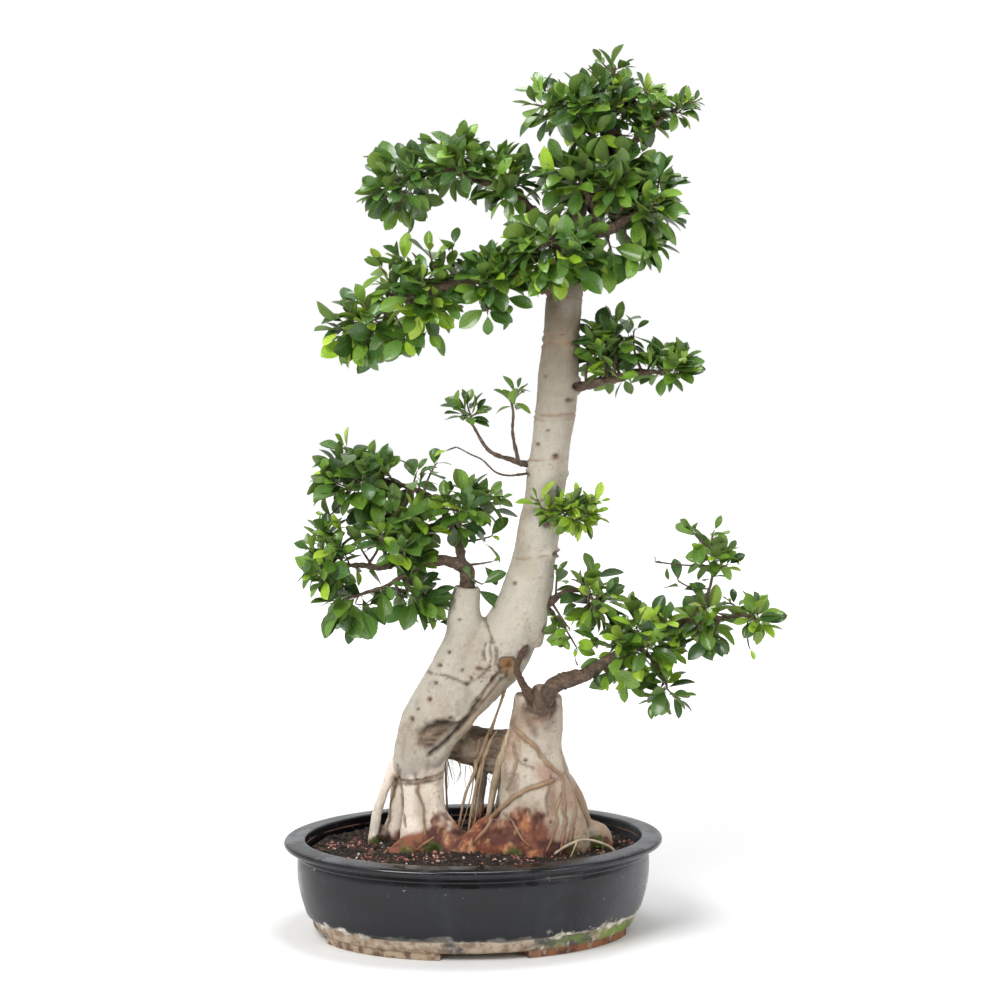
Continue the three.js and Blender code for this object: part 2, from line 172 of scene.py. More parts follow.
def tube(stations, sides=12, step=6.0, wobble=0.0, seed=0.0):
    """Points (tree places, mm) and faces of a closed tapering limb."""
    rings = smooth_path(stations, step)
    gaps = np.linalg.norm(np.diff(rings[:, :3], axis=0), axis=1)
    rings = rings[np.append(True, gaps > 0.05)]
    centres, radii = rings[:, :3], np.maximum(rings[:, 3], 0.25)
    along = np.gradient(centres, axis=0)
    along /= np.linalg.norm(along, axis=1)[:, None]
    side = np.cross(along[0], (0.3, 1.0, 0.2))
    points = []
    for i, (centre, axis) in enumerate(zip(centres, along)):
        side = side - axis * side.dot(axis)
        side /= np.linalg.norm(side)
        third = np.cross(axis, side)
        for k in range(sides):
            angle = 2 * math.pi * k / sides
            out = side * math.cos(angle) + third * math.sin(angle)
            lump = noise.noise(Vector(centre + out * radii[i]) / (3 * radii[i] + 4) + Vector((seed,) * 3))
            points.append(centre + out * radii[i] * (1 + wobble * lump))
    faces = []
    for i in range(len(centres) - 1):
        for k in range(sides):
            a, b = i * sides + k, i * sides + (k + 1) % sides
            faces.append((a, b, b + sides, a + sides))
    last = (len(centres) - 1) * sides
    faces.append(tuple(range(sides - 1, -1, -1)))
    faces.append(tuple(range(last, last + sides)))
    return np.array(points), faces


def joined_tubes(tubes):
    """Several (points, faces) lists as one, moved from tree places into the frame."""
    points, faces = [], []
    for tube_points, tube_faces in tubes:
        start = len(points)
        points += [planted(*p) for p in tube_points]
        faces += [tuple(start + v for v in face) for face in tube_faces]
    return points, faces


print("mesh helpers ready")

# %% [markdown]
# ## Helpers for materials
# Every finish here is worked out from the place on the object, so nothing has to be unwrapped.
# A small class keeps the wiring short: each method adds one node and returns its output, and a
# number, a colour or another output can go into any input.

# %% Material helpers


class Finish:
    """A material and short ways to wire it."""

    def __init__(self, name, **sockets):
        self.material = bpy.data.materials.new(name)
        self.material.use_nodes = True
        self.tree = self.material.node_tree
        self.shader = self.tree.nodes["Principled BSDF"]
        self.place = self.tree.nodes.new("ShaderNodeTexCoord").outputs["Object"]
        self.set(**sockets)

    def feed(self, socket, value):
        if isinstance(value, bpy.types.NodeSocket):
            self.tree.links.new(value, socket)
        elif isinstance(value, tuple) and len(value) == 3 and socket.type == "RGBA":
            socket.default_value = (*value, 1.0)
        else:
            socket.default_value = value

    def node(self, kind, output, inputs, **settings):
        node = self.tree.nodes.new("ShaderNode" + kind)
        for key, value in settings.items():
            setattr(node, key, value)
        for key, value in inputs.items():
            self.feed(node.inputs[key], value)
        return node.outputs[output]

    def math(self, operation, a, b=0.5, c=0.5):
        return self.node("Math", 0, {0: a, 1: b, 2: c}, operation=operation)

    def plus(self, a, b):
        return self.math("ADD", a, b)

    def minus(self, a, b):
        return self.math("SUBTRACT", a, b)

    def times(self, a, b):
        return self.math("MULTIPLY", a, b)

    def stretched(self, x, y, z):
        return self.node("Mapping", 0, {"Vector": self.place, "Scale": (x, y, z)})

    def noise(self, scale, detail=4.0, rough=0.55, place=None):
        inputs = {"Vector": place or self.place, "Scale": scale, "Detail": detail, "Roughness": rough}
        return self.node("TexNoise", "Fac", inputs)

    def cells(self, scale, output="Distance", place=None, **settings):
        return self.node("TexVoronoi", output, {"Vector": place or self.place, "Scale": scale}, **settings)

    def between(self, value, low, high, to_low=0.0, to_high=1.0):
        """The value as 0 below low and 1 above high, with a soft step between."""
        return self.node("MapRange", 0, {0: value, 1: low, 2: high, 3: to_low, 4: to_high},
                         interpolation_type="SMOOTHSTEP")

    def mix(self, factor, a, b):
        node = self.tree.nodes.new("ShaderNodeMix")
        node.data_type = "RGBA"
        self.feed(node.inputs[0], factor)
        self.feed(node.inputs[6], a)
        self.feed(node.inputs[7], b)
        return node.outputs[2]

    def scaled(self, colour, factor):
        node = self.tree.nodes.new("ShaderNodeVectorMath")
        node.operation = "SCALE"
        self.feed(node.inputs[0], colour)
        self.feed(node.inputs["Scale"], factor)
        return node.outputs[0]

    def axis(self, name, source=None):
        return self.node("SeparateXYZ", name, {"Vector": source or self.place})

    def attribute(self, name, output="Color"):
        return self.node("Attribute", output, {}, attribute_name=name)

    def bump(self, height, distance, strength=1.0, normal=None):
        inputs = {"Height": height, "Distance": distance, "Strength": strength}
        if normal is not None:
            inputs["Normal"] = normal
        return self.node("Bump", 0, inputs)

    def set(self, **sockets):
        for socket, value in sockets.items():
            self.feed(self.shader.inputs[socket.replace("_", " ")], value)
        return self.material


print("material helpers ready")

# %% [markdown]
# ## The stage
# A pale floor, a pale surround and large soft lamps, as for a plant shot in a studio. The key
# lamp stands high on the left, so the wood is bright on that side and its right side falls off
# softly. The surround is bright at the back and sides and dimmer in front, because leaves and
# glaze are glossy and show whatever stands around them. Far out, the floor glows into the
# surround, so no horizon shows.

# %% Stage, lamps and camera
EYE = planted(38.5, -3200, 930)
CAMERA_DROP = math.radians(5.2)

floor_finish = Finish("studio_floor", Base_Color=(0.86, 0.86, 0.86), Roughness=0.9,
                      Emission_Color=(1.0, 1.0, 1.0))
away = floor_finish.node("VectorMath", "Value", {0: floor_finish.place}, operation="LENGTH")
floor_finish.set(Emission_Strength=floor_finish.between(away, 0.75, 2.6, 0.0, 0.62))
bpy.ops.mesh.primitive_circle_add(vertices=96, radius=9.0, fill_type="NGON", location=(0, 0, -0.0005))
floor = bpy.context.object
floor.name = "studio_floor"
floor.data.materials.append(floor_finish.material)

world = bpy.data.worlds.new("pale_surround")
bpy.context.scene.world = world
world.use_nodes = True
surround = world.node_tree.nodes["Background"]
seen = world.node_tree.nodes.new("ShaderNodeLightPath").outputs["Is Camera Ray"]
level = world.node_tree.nodes.new("ShaderNodeMapRange")
level.inputs["To Max"].default_value = 1.0
heading = world.node_tree.nodes.new("ShaderNodeTexCoord").outputs["Generated"]
parts = world.node_tree.nodes.new("ShaderNodeSeparateXYZ")
world.node_tree.links.new(heading, parts.inputs[0])
fade = world.node_tree.nodes.new("ShaderNodeMapRange")
for socket, value in zip(fade.inputs[1:5], (-0.95, 0.1, 0.3, 0.78)):
    socket.default_value = value
world.node_tree.links.new(parts.outputs["Y"], fade.inputs["Value"])
world.node_tree.links.new(fade.outputs[0], level.inputs["To Min"])
world.node_tree.links.new(seen, level.inputs["Value"])
world.node_tree.links.new(level.outputs[0], surround.inputs["Strength"])
surround.inputs["Color"].default_value = (1.0, 1.0, 1.0, 1.0)
bpy.context.scene.view_settings.view_transform = "Standard"


def soft_lamp(name, place, target, size, power):
    lamp = bpy.data.lights.new(name, "AREA")
    lamp.shape = "DISK"
    lamp.size = size
    lamp.energy = power
    holder = bpy.data.objects.new(name, lamp)
    bpy.context.scene.collection.objects.link(holder)
    holder.location = place
    holder.rotation_euler = (Vector(target) - Vector(place)).to_track_quat("-Z", "Y").to_euler()


soft_lamp("key_lamp", (-1.7, -1.9, 2.5), (0, 0, 0.6), 1.7, 82)
soft_lamp("top_lamp", (0.15, -0.1, 3.3), (0, 0, 0.4), 1.2, 48)
soft_lamp("fill_lamp", (2.2, -2.4, 1.4), (0, 0, 0.6), 1.6, 24)

camera_data = bpy.data.cameras.new("camera")
camera_data.lens = 79.2
camera_data.sensor_width = 36
camera = bpy.data.objects.new("camera", camera_data)
bpy.context.scene.collection.objects.link(camera)
camera.location = EYE
camera.rotation_euler = (math.radians(90) - CAMERA_DROP, 0, -TURN)
bpy.context.scene.camera = camera
print("camera at", [round(v, 2) for v in EYE])

# %% [markdown]
# ## Pot glaze
# The pot is stoneware dipped in a blue-black glaze. The glaze stops short of the foot, where
# the bare clay is stained by years of watering: a white lime crust along the glaze line, green
# algae on the damp side and rust-brown feet. Thin lime runs climb the wall, dark blots show
# where water dried, and a pale film dulls the right end. Everything is driven by height and
# noise, so the bands wander as real stains do. Dust sits only on faces that look up, and toward
# the two ends its pale grey is also a painted reflection.

# %% Pot glaze
GLAZE_LINE = POT_LOW.z + 0.03
LIP_LINE = POT_HIGH.z - 0.0125


def pot_finish():
    f = Finish("fired_glaze")
    height, across = f.axis("Z"), f.axis("X")
    wander = f.noise(6, 3)
    fine = f.noise(95, 6)
    upward = f.axis("Z", f.node("NewGeometry", "Normal", {}))

    streaks = f.noise(9, 6, place=f.stretched(2.2, 2.2, 0.55))
    glaze = f.mix(f.between(streaks, 0.45, 0.75), (0.0028, 0.0034, 0.006), (0.01, 0.012, 0.018))
    specks = f.between(f.noise(260, 3), 0.66, 0.76)
    spatter = f.times(specks, f.between(f.noise(7, 3), 0.42, 0.62, 0.05, 0.7))
    glaze = f.mix(spatter, glaze, (0.16, 0.16, 0.17))
    # Pale grey on faces that look up, strongest toward the two ends: partly dust, partly a painted
    # reflection.
    dust_and_sheen = f.times(f.between(upward, 0.55, 0.98), f.between(f.noise(26, 6), 0.25, 0.75, 0.25, 0.75))
    from_middle = f.math("ABSOLUTE", f.minus(across, POT_CENTRE.x))
    dust_and_sheen = f.times(dust_and_sheen, f.between(from_middle, 0.12, 0.29, 0.04, 1.0))
    glaze = f.mix(f.times(dust_and_sheen, 0.85), glaze, (0.36, 0.37, 0.39))

    wall = f.between(upward, 0.5, 0.2)
    blots = f.between(f.noise(13, 5, 0.6, f.stretched(1, 1, 1.9)), 0.47, 0.55)
    blots = f.times(blots, f.between(height, GLAZE_LINE + 0.03, GLAZE_LINE + 0.055))
    glaze = f.mix(f.times(blots, 0.8), glaze, (0.0016, 0.0018, 0.0028))
    right_end = f.between(f.minus(across, POT_CENTRE.x), 0.13, 0.26)
    film = f.times(f.times(right_end, wall), f.between(f.noise(12, 6), 0.25, 0.7, 0.35, 1.0))
    glaze = f.mix(f.times(film, 0.75), glaze, (0.095, 0.098, 0.11))
    marks = f.between(f.noise(1.0, 3, 0.6, f.stretched(48, 48, 95)), 0.69, 0.73)
    marks = f.times(f.times(marks, wall), f.between(f.noise(9, 2), 0.46, 0.58))
    glaze = f.mix(f.times(marks, 0.7), glaze, (0.34, 0.34, 0.32))

    clay = f.mix(f.between(fine, 0.35, 0.7), (0.5, 0.41, 0.3), (0.24, 0.16, 0.1))
    clay = f.mix(f.between(f.noise(20, 6, 0.65), 0.5, 0.62), clay, (0.085, 0.08, 0.078))
    foot_left = f.mix(f.between(f.noise(70, 6), 0.4, 0.6), (0.42, 0.32, 0.22), (0.14, 0.085, 0.05))
    foot_right = f.mix(f.between(f.noise(60, 5), 0.4, 0.62), (0.3, 0.125, 0.06), (0.1, 0.045, 0.03))
    rust = f.mix(f.between(across, POT_CENTRE.x - 0.03, POT_CENTRE.x + 0.12), foot_left, foot_right)
    foot = f.between(height, POT_LOW.z + 0.008, POT_LOW.z + 0.015, 1.0, 0.0)
    clay = f.mix(foot, clay, rust)

    edge = f.math("MULTIPLY_ADD", wander, 0.016, f.math("MULTIPLY_ADD", fine, 0.005, GLAZE_LINE - 0.0105))
    bare = f.between(f.minus(edge, height), -0.0008, 0.0012)
    above_edge = f.minus(height, edge)
    band = f.minus(1.0, f.math("ABSOLUTE", f.math("DIVIDE", above_edge, 0.011)))
    lime = f.plus(band, f.times(f.minus(f.noise(32, 7), 0.5), 3.4))
    lime = f.times(f.between(lime, 0.45, 0.95), f.between(band, 0.0, 0.25))
    lime = f.times(lime, f.between(f.noise(7, 3), 0.42, 0.56, 0.18, 0.95))
    runs = f.between(f.noise(1.0, 4, 0.6, f.stretched(70, 70, 26)), 0.56, 0.64)
    runs = f.times(runs, f.between(above_edge, 0.016, 0.004))
    runs = f.times(runs, f.between(f.noise(5, 2), 0.5, 0.6))
    lime = f.math("MAXIMUM", lime, f.times(runs, 0.7))
    damp = f.between(across, POT_CENTRE.x + 0.06, POT_CENTRE.x + 0.17)
    green = f.times(damp, f.between(f.noise(24, 6), 0.44, 0.58))
    green = f.times(green, f.between(height, GLAZE_LINE + 0.004, GLAZE_LINE - 0.008))
    green = f.times(green, f.between(height, POT_LOW.z + 0.008, POT_LOW.z + 0.014))

    lip_gap = f.math("ABSOLUTE", f.minus(height, LIP_LINE))
    lip = f.times(f.between(lip_gap, 0.0016, 0.0006), f.between(f.noise(18, 4), 0.35, 0.6))
    colour = f.mix(bare, glaze, clay)
    colour = f.mix(green, colour, (0.19, 0.27, 0.055))
    colour = f.mix(lime, colour, f.mix(f.between(fine, 0.35, 0.65), (0.8, 0.76, 0.68), (0.44, 0.38, 0.29)))
    colour = f.mix(lip, colour, (0.16, 0.075, 0.045))

    rough = f.math("MULTIPLY_ADD", dust_and_sheen, 0.28, f.between(streaks, 0.3, 0.8, 0.22, 0.36))
    rough = f.math("MULTIPLY_ADD", blots, -0.14, rough)
    dry = f.math("MAXIMUM", f.math("MAXIMUM", bare, lime), f.math("MAXIMUM", green, lip))
    rough = f.math("MAXIMUM", rough, f.times(dry, 0.85))
    ripple = f.math("MULTIPLY_ADD", f.noise(11, 2), 0.9, f.times(f.noise(170, 3), 0.05))
    crust = f.math("MULTIPLY_ADD", lime, 0.9, f.times(f.times(dry, fine), 0.7))
    bump = f.bump(f.plus(ripple, crust), 0.0022, 0.8)
    return f.set(Base_Color=colour, Roughness=rough, Normal=bump, IOR=1.46)


glaze_material = pot_finish()
print("glaze line at", round(GLAZE_LINE, 4))

# %% [markdown]
# ## The pot
# A potter turns a round form and then pushes it oval, or presses it in an oval mould. Here a
# ring is extruded up the outside, over the lip and down the inside, scaled at every step as on
# a wheel. Then one formula makes it oval: each radius loses the same amount on the short side,
# so the wall and the rim keep their width all round. The feet are pulled down out of the base.

# %% The pot
SIDES_OF_POT = 160
RIM_RADIUS = (POT_HIGH.x - POT_LOW.x) / 2
OVAL_LOSS = RIM_RADIUS - (POT_HIGH.y - POT_LOW.y) / 2
LIP_OVERHANG, BASE_INSET, RIM_WIDTH, WALL = 0.019, 0.024, 0.031, 0.013
BODY_RADIUS = RIM_RADIUS - LIP_OVERHANG
BASE_RADIUS = BODY_RADIUS - BASE_INSET
INNER_RADIUS = RIM_RADIUS - RIM_WIDTH
KNEE_RADIUS = BASE_RADIUS - 2 * WALL
FOOT = 0.01
FOOT_OUTER, FOOT_INNER = BASE_RADIUS - 0.003, BASE_RADIUS - 0.033
TOP = POT_HIGH.z


def arc(radius, height, size, start, end, steps=5):
    """Points of a rounded corner in the pot's profile; angles in degrees from outward."""
    angles = [math.radians(start + (end - start) * i / steps) for i in range(steps + 1)]
    return [(radius + size * math.cos(a), height + size * math.sin(a)) for a in angles]


def bulge(low, high, swell, steps=9):
    """Points of a gently swelling wall between two (radius, height) points."""
    points = []
    for i in range(1, steps):
        t = i / steps
        points.append((low[0] + (high[0] - low[0]) * t + swell * math.sin(math.pi * t),
                       low[1] + (high[1] - low[1]) * t))
    return points


POT_PROFILE = [
    (FOOT_OUTER, FOOT), (BASE_RADIUS - 0.0015, FOOT + 0.0005), (BASE_RADIUS + 0.001, FOOT + 0.004),
    (BASE_RADIUS + 0.006, FOOT + 0.019), (BASE_RADIUS + 0.0105, FOOT + 0.0215),
    (BASE_RADIUS + 0.0125, FOOT + 0.026),
    *bulge((BASE_RADIUS + 0.0125, FOOT + 0.026), (BODY_RADIUS - 0.0005, TOP - 0.026), 0.0045),
    (BODY_RADIUS - 0.0005, TOP - 0.026), (BODY_RADIUS - 0.0016, TOP - 0.0235),
    (BODY_RADIUS + 0.0018, TOP - 0.0225),
    (BODY_RADIUS + 0.0028, TOP - 0.0205), (BODY_RADIUS + 0.0015, TOP - 0.016),
    (BODY_RADIUS + 0.004, TOP - 0.0128),
    (RIM_RADIUS - 0.01, TOP - 0.0118),
    *arc(RIM_RADIUS - 0.0052, TOP - 0.0062, 0.0052, -80, 82, 8),
    (RIM_RADIUS - 0.012, TOP - 0.0005), (INNER_RADIUS + 0.008, TOP),
    *arc(INNER_RADIUS + 0.003, TOP - 0.003, 0.003, 90, 180, 4),
    (INNER_RADIUS - 0.0005, TOP - 0.018), (INNER_RADIUS - 0.002, TOP - 0.048),
    (BODY_RADIUS - WALL - 0.005, 0.064), (BASE_RADIUS - WALL, 0.032), (KNEE_RADIUS, 0.024),
]


def turned_pot():
    deselect_all()
    bpy.ops.mesh.primitive_circle_add(vertices=SIDES_OF_POT, radius=FOOT_INNER, fill_type="NGON",
                                      location=(0, 0, FOOT))
    piece = bpy.context.object
    piece.name = "pot_body"
    bpy.ops.object.transform_apply(location=True, rotation=True, scale=True)
    bpy.ops.object.mode_set(mode="EDIT")
    bpy.ops.mesh.select_all(action="SELECT")
    bpy.ops.mesh.region_to_loop()
    radius, height = FOOT_INNER, FOOT
    for next_radius, next_height in POT_PROFILE:
        bpy.ops.mesh.extrude_edges_move(TRANSFORM_OT_translate={"value": (0, 0, next_height - height)})
        scale = next_radius / radius
        bpy.ops.transform.resize(value=(scale, scale, 1))
        radius, height = next_radius, next_height
    bpy.ops.mesh.edge_face_add()
    bpy.ops.mesh.select_all(action="SELECT")
    bpy.ops.mesh.normals_make_consistent(inside=False)
    bpy.ops.object.mode_set(mode="OBJECT")
    return piece


def pull_feet(piece, gap_front=0.134, gap_end=0.11):
    """Four feet, pulled down from the ring of faces under the base."""
    start = math.asin(gap_end / 2 / (FOOT_OUTER - OVAL_LOSS))
    end = math.acos(gap_front / 2 / FOOT_OUTER)
    make_active(piece)
    bpy.ops.object.mode_set(mode="EDIT")
    bpy.ops.mesh.select_mode(type="FACE")
    bpy.ops.mesh.select_all(action="DESELECT")
    bpy.ops.object.mode_set(mode="OBJECT")
    for face in piece.data.polygons:
        x, y, z = face.center
        angle = math.atan2(abs(y), abs(x))
        if z < FOOT + 1e-4 and FOOT_INNER < math.hypot(x, y) < FOOT_OUTER and start < angle < end:
            face.select = True
    bpy.ops.object.mode_set(mode="EDIT")
    bpy.ops.mesh.extrude_region_move(TRANSFORM_OT_translate={"value": (0, 0, -FOOT)})
    bpy.ops.object.mode_set(mode="OBJECT")


def push_oval(piece):
    points = mesh_points(piece)
    radius = np.hypot(points[:, 0], points[:, 1])
    short = np.where(radius >= KNEE_RADIUS, radius - OVAL_LOSS, radius * (1 - OVAL_LOSS / KNEE_RADIUS))
    points[:, 1] *= short / np.maximum(radius, 1e-6)
    points[:, 0] += POT_CENTRE.x
    points[:, 1] += POT_CENTRE.y
    set_points(piece, points)


def drill_drains(piece, width=0.042, spacing=0.23):
    for side in (-1, 1):
        deselect_all()
        bpy.ops.mesh.primitive_cylinder_add(vertices=48, radius=width / 2, depth=0.04,
                                            location=(POT_CENTRE.x + side * spacing / 2, 0, 0.018))
        drill = bpy.context.object
        apply_modifier(piece, "BOOLEAN", operation="DIFFERENCE", object=drill)
        bpy.data.objects.remove(drill)


pot = turned_pot()
pull_feet(pot)
push_oval(pot)
drill_drains(pot)
apply_modifier(pot, "BEVEL", width=0.0008, segments=2, limit_method="ANGLE", angle_limit=math.radians(50))
pot.data.materials.append(glaze_material)
make_active(pot)
bpy.ops.object.shade_smooth_by_angle(angle=math.radians(40))
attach(pot, "root")
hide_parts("pot")
print("pot", len(pot.data.polygons), "faces,", [round(v, 3) for v in pot.dimensions])

# %% [markdown]
# ## Drainage meshes
# Over each drain hole lies a square of black plastic mesh, which keeps the mix in. It is only
# seen from below, through the holes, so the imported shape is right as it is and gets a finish.

# %% Drainage meshes
mesh_finish = Finish("moulded_mesh_plastic")
mesh_grain = mesh_finish.noise(900, 3)
mesh_finish.set(
    Base_Color=mesh_finish.mix(mesh_grain, (0.018, 0.018, 0.018), (0.05, 0.045, 0.04)),
    Roughness=0.55,
    Normal=mesh_finish.bump(mesh_grain, 0.0003, 0.5),
)
for side in ("left", "right"):
    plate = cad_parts["drainage_mesh_" + side]
    plate.data.materials.clear()
    plate.data.materials.append(mesh_finish.material)
print("drainage meshes finished")

# %% [markdown]
# ## Soil
# The mix is dark compost with bark, pink lava grit and white perlite. One closed bed carries the
# low heaps, and thousands of crumbs lie on it. A crumb has only twenty faces, because there are
# so many, and each kind is one piece with its own colours painted crumb by crumb.

# %% Soil bed
SOIL_LOW, SOIL_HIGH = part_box("soil")
SOIL_LENGTH = (SOIL_HIGH.x - SOIL_LOW.x) / 2
SOIL_DEPTH = (SOIL_HIGH.y - SOIL_LOW.y) / 2
SOIL_EDGE = POT_HIGH.z - 0.021


def soil_level(x, y):
    """Height of the soil at a place in the frame, in metres."""
    u = (x - POT_CENTRE.x) / SOIL_LENGTH
    v = (y - POT_CENTRE.y) / SOIL_DEPTH
    mound = 0.009 * max(0.0, 1 - (u * u + v * v) ** 1.5)
    heap = 0.0045 * noise.noise(Vector((x, y, 0)) * 16) + 0.002 * noise.noise(Vector((x, y, 3)) * 55)
    return SOIL_EDGE + mound + heap


def soil_finish(name, attribute=None):
    f = Finish(name, Roughness=0.92)
    clumps, fine = f.noise(60, 7, 0.65), f.noise(420, 5, 0.6)
    if attribute:
        colour = f.mix(f.between(fine, 0.3, 0.75), f.attribute(attribute), (0.03, 0.02, 0.014))
        return f.set(Base_Color=f.mix(0.65, colour, f.attribute(attribute)),
                     Normal=f.bump(fine, 0.0009, 0.9))
    dark = f.mix(f.between(clumps, 0.35, 0.7), (0.008, 0.005, 0.004), (0.04, 0.024, 0.016))
    red = f.between(f.noise(38, 5, 0.6), 0.6, 0.7)
    colour = f.mix(red, dark, (0.11, 0.045, 0.032))
    return f.set(Base_Color=colour, Normal=f.bump(f.plus(clumps, fine), 0.004, 1.0))


def soil_bed():
    """A closed bed: rings from the middle outward, then down the wall and across the floor."""
    spokes, rings = 120, 34
    points = []
    for ring in range(rings):
        share = math.sin((ring + 1) / rings * math.pi / 2)
        for k in range(spokes):
            angle = 2 * math.pi * k / spokes
            x = POT_CENTRE.x + (SOIL_LENGTH - 0.001) * share * math.cos(angle)
            y = POT_CENTRE.y + (SOIL_DEPTH - 0.001) * share * math.sin(angle)
            points.append((x, y, soil_level(x, y)))
    for share, height in ((0.985, 0.07), (0.93, 0.034), (0.89, 0.0255)):
        for k in range(spokes):
            angle = 2 * math.pi * k / spokes
            points.append((POT_CENTRE.x + SOIL_LENGTH * share * math.cos(angle),
                           POT_CENTRE.y + (SOIL_DEPTH - (1 - share) * SOIL_LENGTH) * math.sin(angle),
                           height))
    faces = []
    for ring in range(rings + 2):
        for k in range(spokes):
            a, b = ring * spokes + k, ring * spokes + (k + 1) % spokes
            faces.append((a, a + spokes, b + spokes, b))
    faces.append(tuple(range(spokes)))
    faces.append(tuple(range((rings + 3) * spokes - 1, (rings + 2) * spokes - 1, -1)))
    return points, faces


bed = mesh_piece("soil_bed", *soil_bed(), [soil_finish("damp_soil")])
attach(bed, "root")
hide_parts("soil")
print("soil bed", len(bed.data.polygons), "faces")

# %% Crumbs on the soil


def crumb_shape():
    deselect_all()
    bpy.ops.mesh.primitive_ico_sphere_add(subdivisions=1, radius=1.0, location=(0, 0, 0))
    start = bpy.context.object
    points = mesh_points(start)
    faces = [tuple(p.vertices) for p in start.data.polygons]
    bpy.data.objects.remove(start)
    return points, faces


CRUMB_POINTS, CRUMB_FACES = crumb_shape()


def in_soil(rng):
    """A random place on the soil, even over the whole oval."""
    share, angle = math.sqrt(rng.random()) * 0.975, rng.random() * 2 * math.pi
    return (POT_CENTRE.x + SOIL_LENGTH * share * math.cos(angle),
            POT_CENTRE.y + SOIL_DEPTH * share * math.sin(angle))


def scatter(name, count, sizes, flatness, tones, seed, clumps=None):
    """Crumbs of one kind: random size, turn and tone. clumps is a noise level that gathers them."""
    rng = random.Random(seed)
    points, faces, colours = [], [], []
    placed = 0
    while placed < count:
        x, y = in_soil(rng)
        if clumps is not None and noise.noise(Vector((x, y, seed)) * 22) < clumps - 0.5 * rng.random():
            continue
        placed += 1
        size = MM * rng.uniform(*sizes) * (0.6 + 0.8 * rng.random() ** 3)
        turn = Vector((rng.random(), rng.random(), rng.random())).to_track_quat("Z", "Y").to_matrix()
        stretch = Vector((rng.uniform(0.7, 1.4), rng.uniform(0.6, 1.0), rng.uniform(flatness, 1.0)))
        centre = Vector((x, y, soil_level(x, y) + size * rng.uniform(-0.1, 0.45)))
        start = len(points)
        for p in CRUMB_POINTS:
            corner = Vector([c * s * rng.uniform(0.75, 1.15) for c, s in zip(p, stretch)])
            points.append(centre + (turn @ corner) * size)
        faces += [tuple(start + v for v in face) for face in CRUMB_FACES]
        tone, shade = rng.choice(tones), rng.uniform(0.6, 1.25)
        colours += [tuple(min(1.0, c * shade) for c in tone)] * len(CRUMB_POINTS)
    piece = mesh_piece(name, points, faces, [crumb_material])
    piece.data.polygons.foreach_set("use_smooth", np.zeros(len(piece.data.polygons), bool))
    paint(piece, "crumb_tone", np.array(colours))
    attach(piece, "root")
    print(name, placed, "crumbs")
    return piece


crumb_material = soil_finish("crumb_surface", "crumb_tone")
DARK_TONES = [(0.012, 0.008, 0.006), (0.028, 0.017, 0.012), (0.05, 0.03, 0.02), (0.085, 0.054, 0.036)]
scatter("soil_bark_crumbs", 5200, (1.5, 4.2), 0.5, DARK_TONES, 11)
LAVA_TONES = [(0.5, 0.2, 0.15), (0.62, 0.33, 0.27), (0.36, 0.12, 0.09)]
scatter("soil_lava_grit", 950, (1.4, 3.0), 0.7, LAVA_TONES, 12, 0.42)
scatter("soil_perlite", 190, (1.1, 2.6), 0.8, [(0.8, 0.76, 0.7), (0.7, 0.6, 0.54)], 13, 0.2)
scatter("soil_feed_pellets", 7, (2.2, 2.6), 1.0, [(0.62, 0.24, 0.03)], 15)

# %% [markdown]
# ## Wood: the strands
# The base of this fig is many roots that thickened until they fused. So the trunk is laid out
# as strands, each a smooth path with a radius at every station, and a voxel remesh welds them
# into one skin with soft creases between them, as the real wood has. Modelling that skin by
# hand would hide how it grew. Each strand has a tone, which later tells its bark colour.

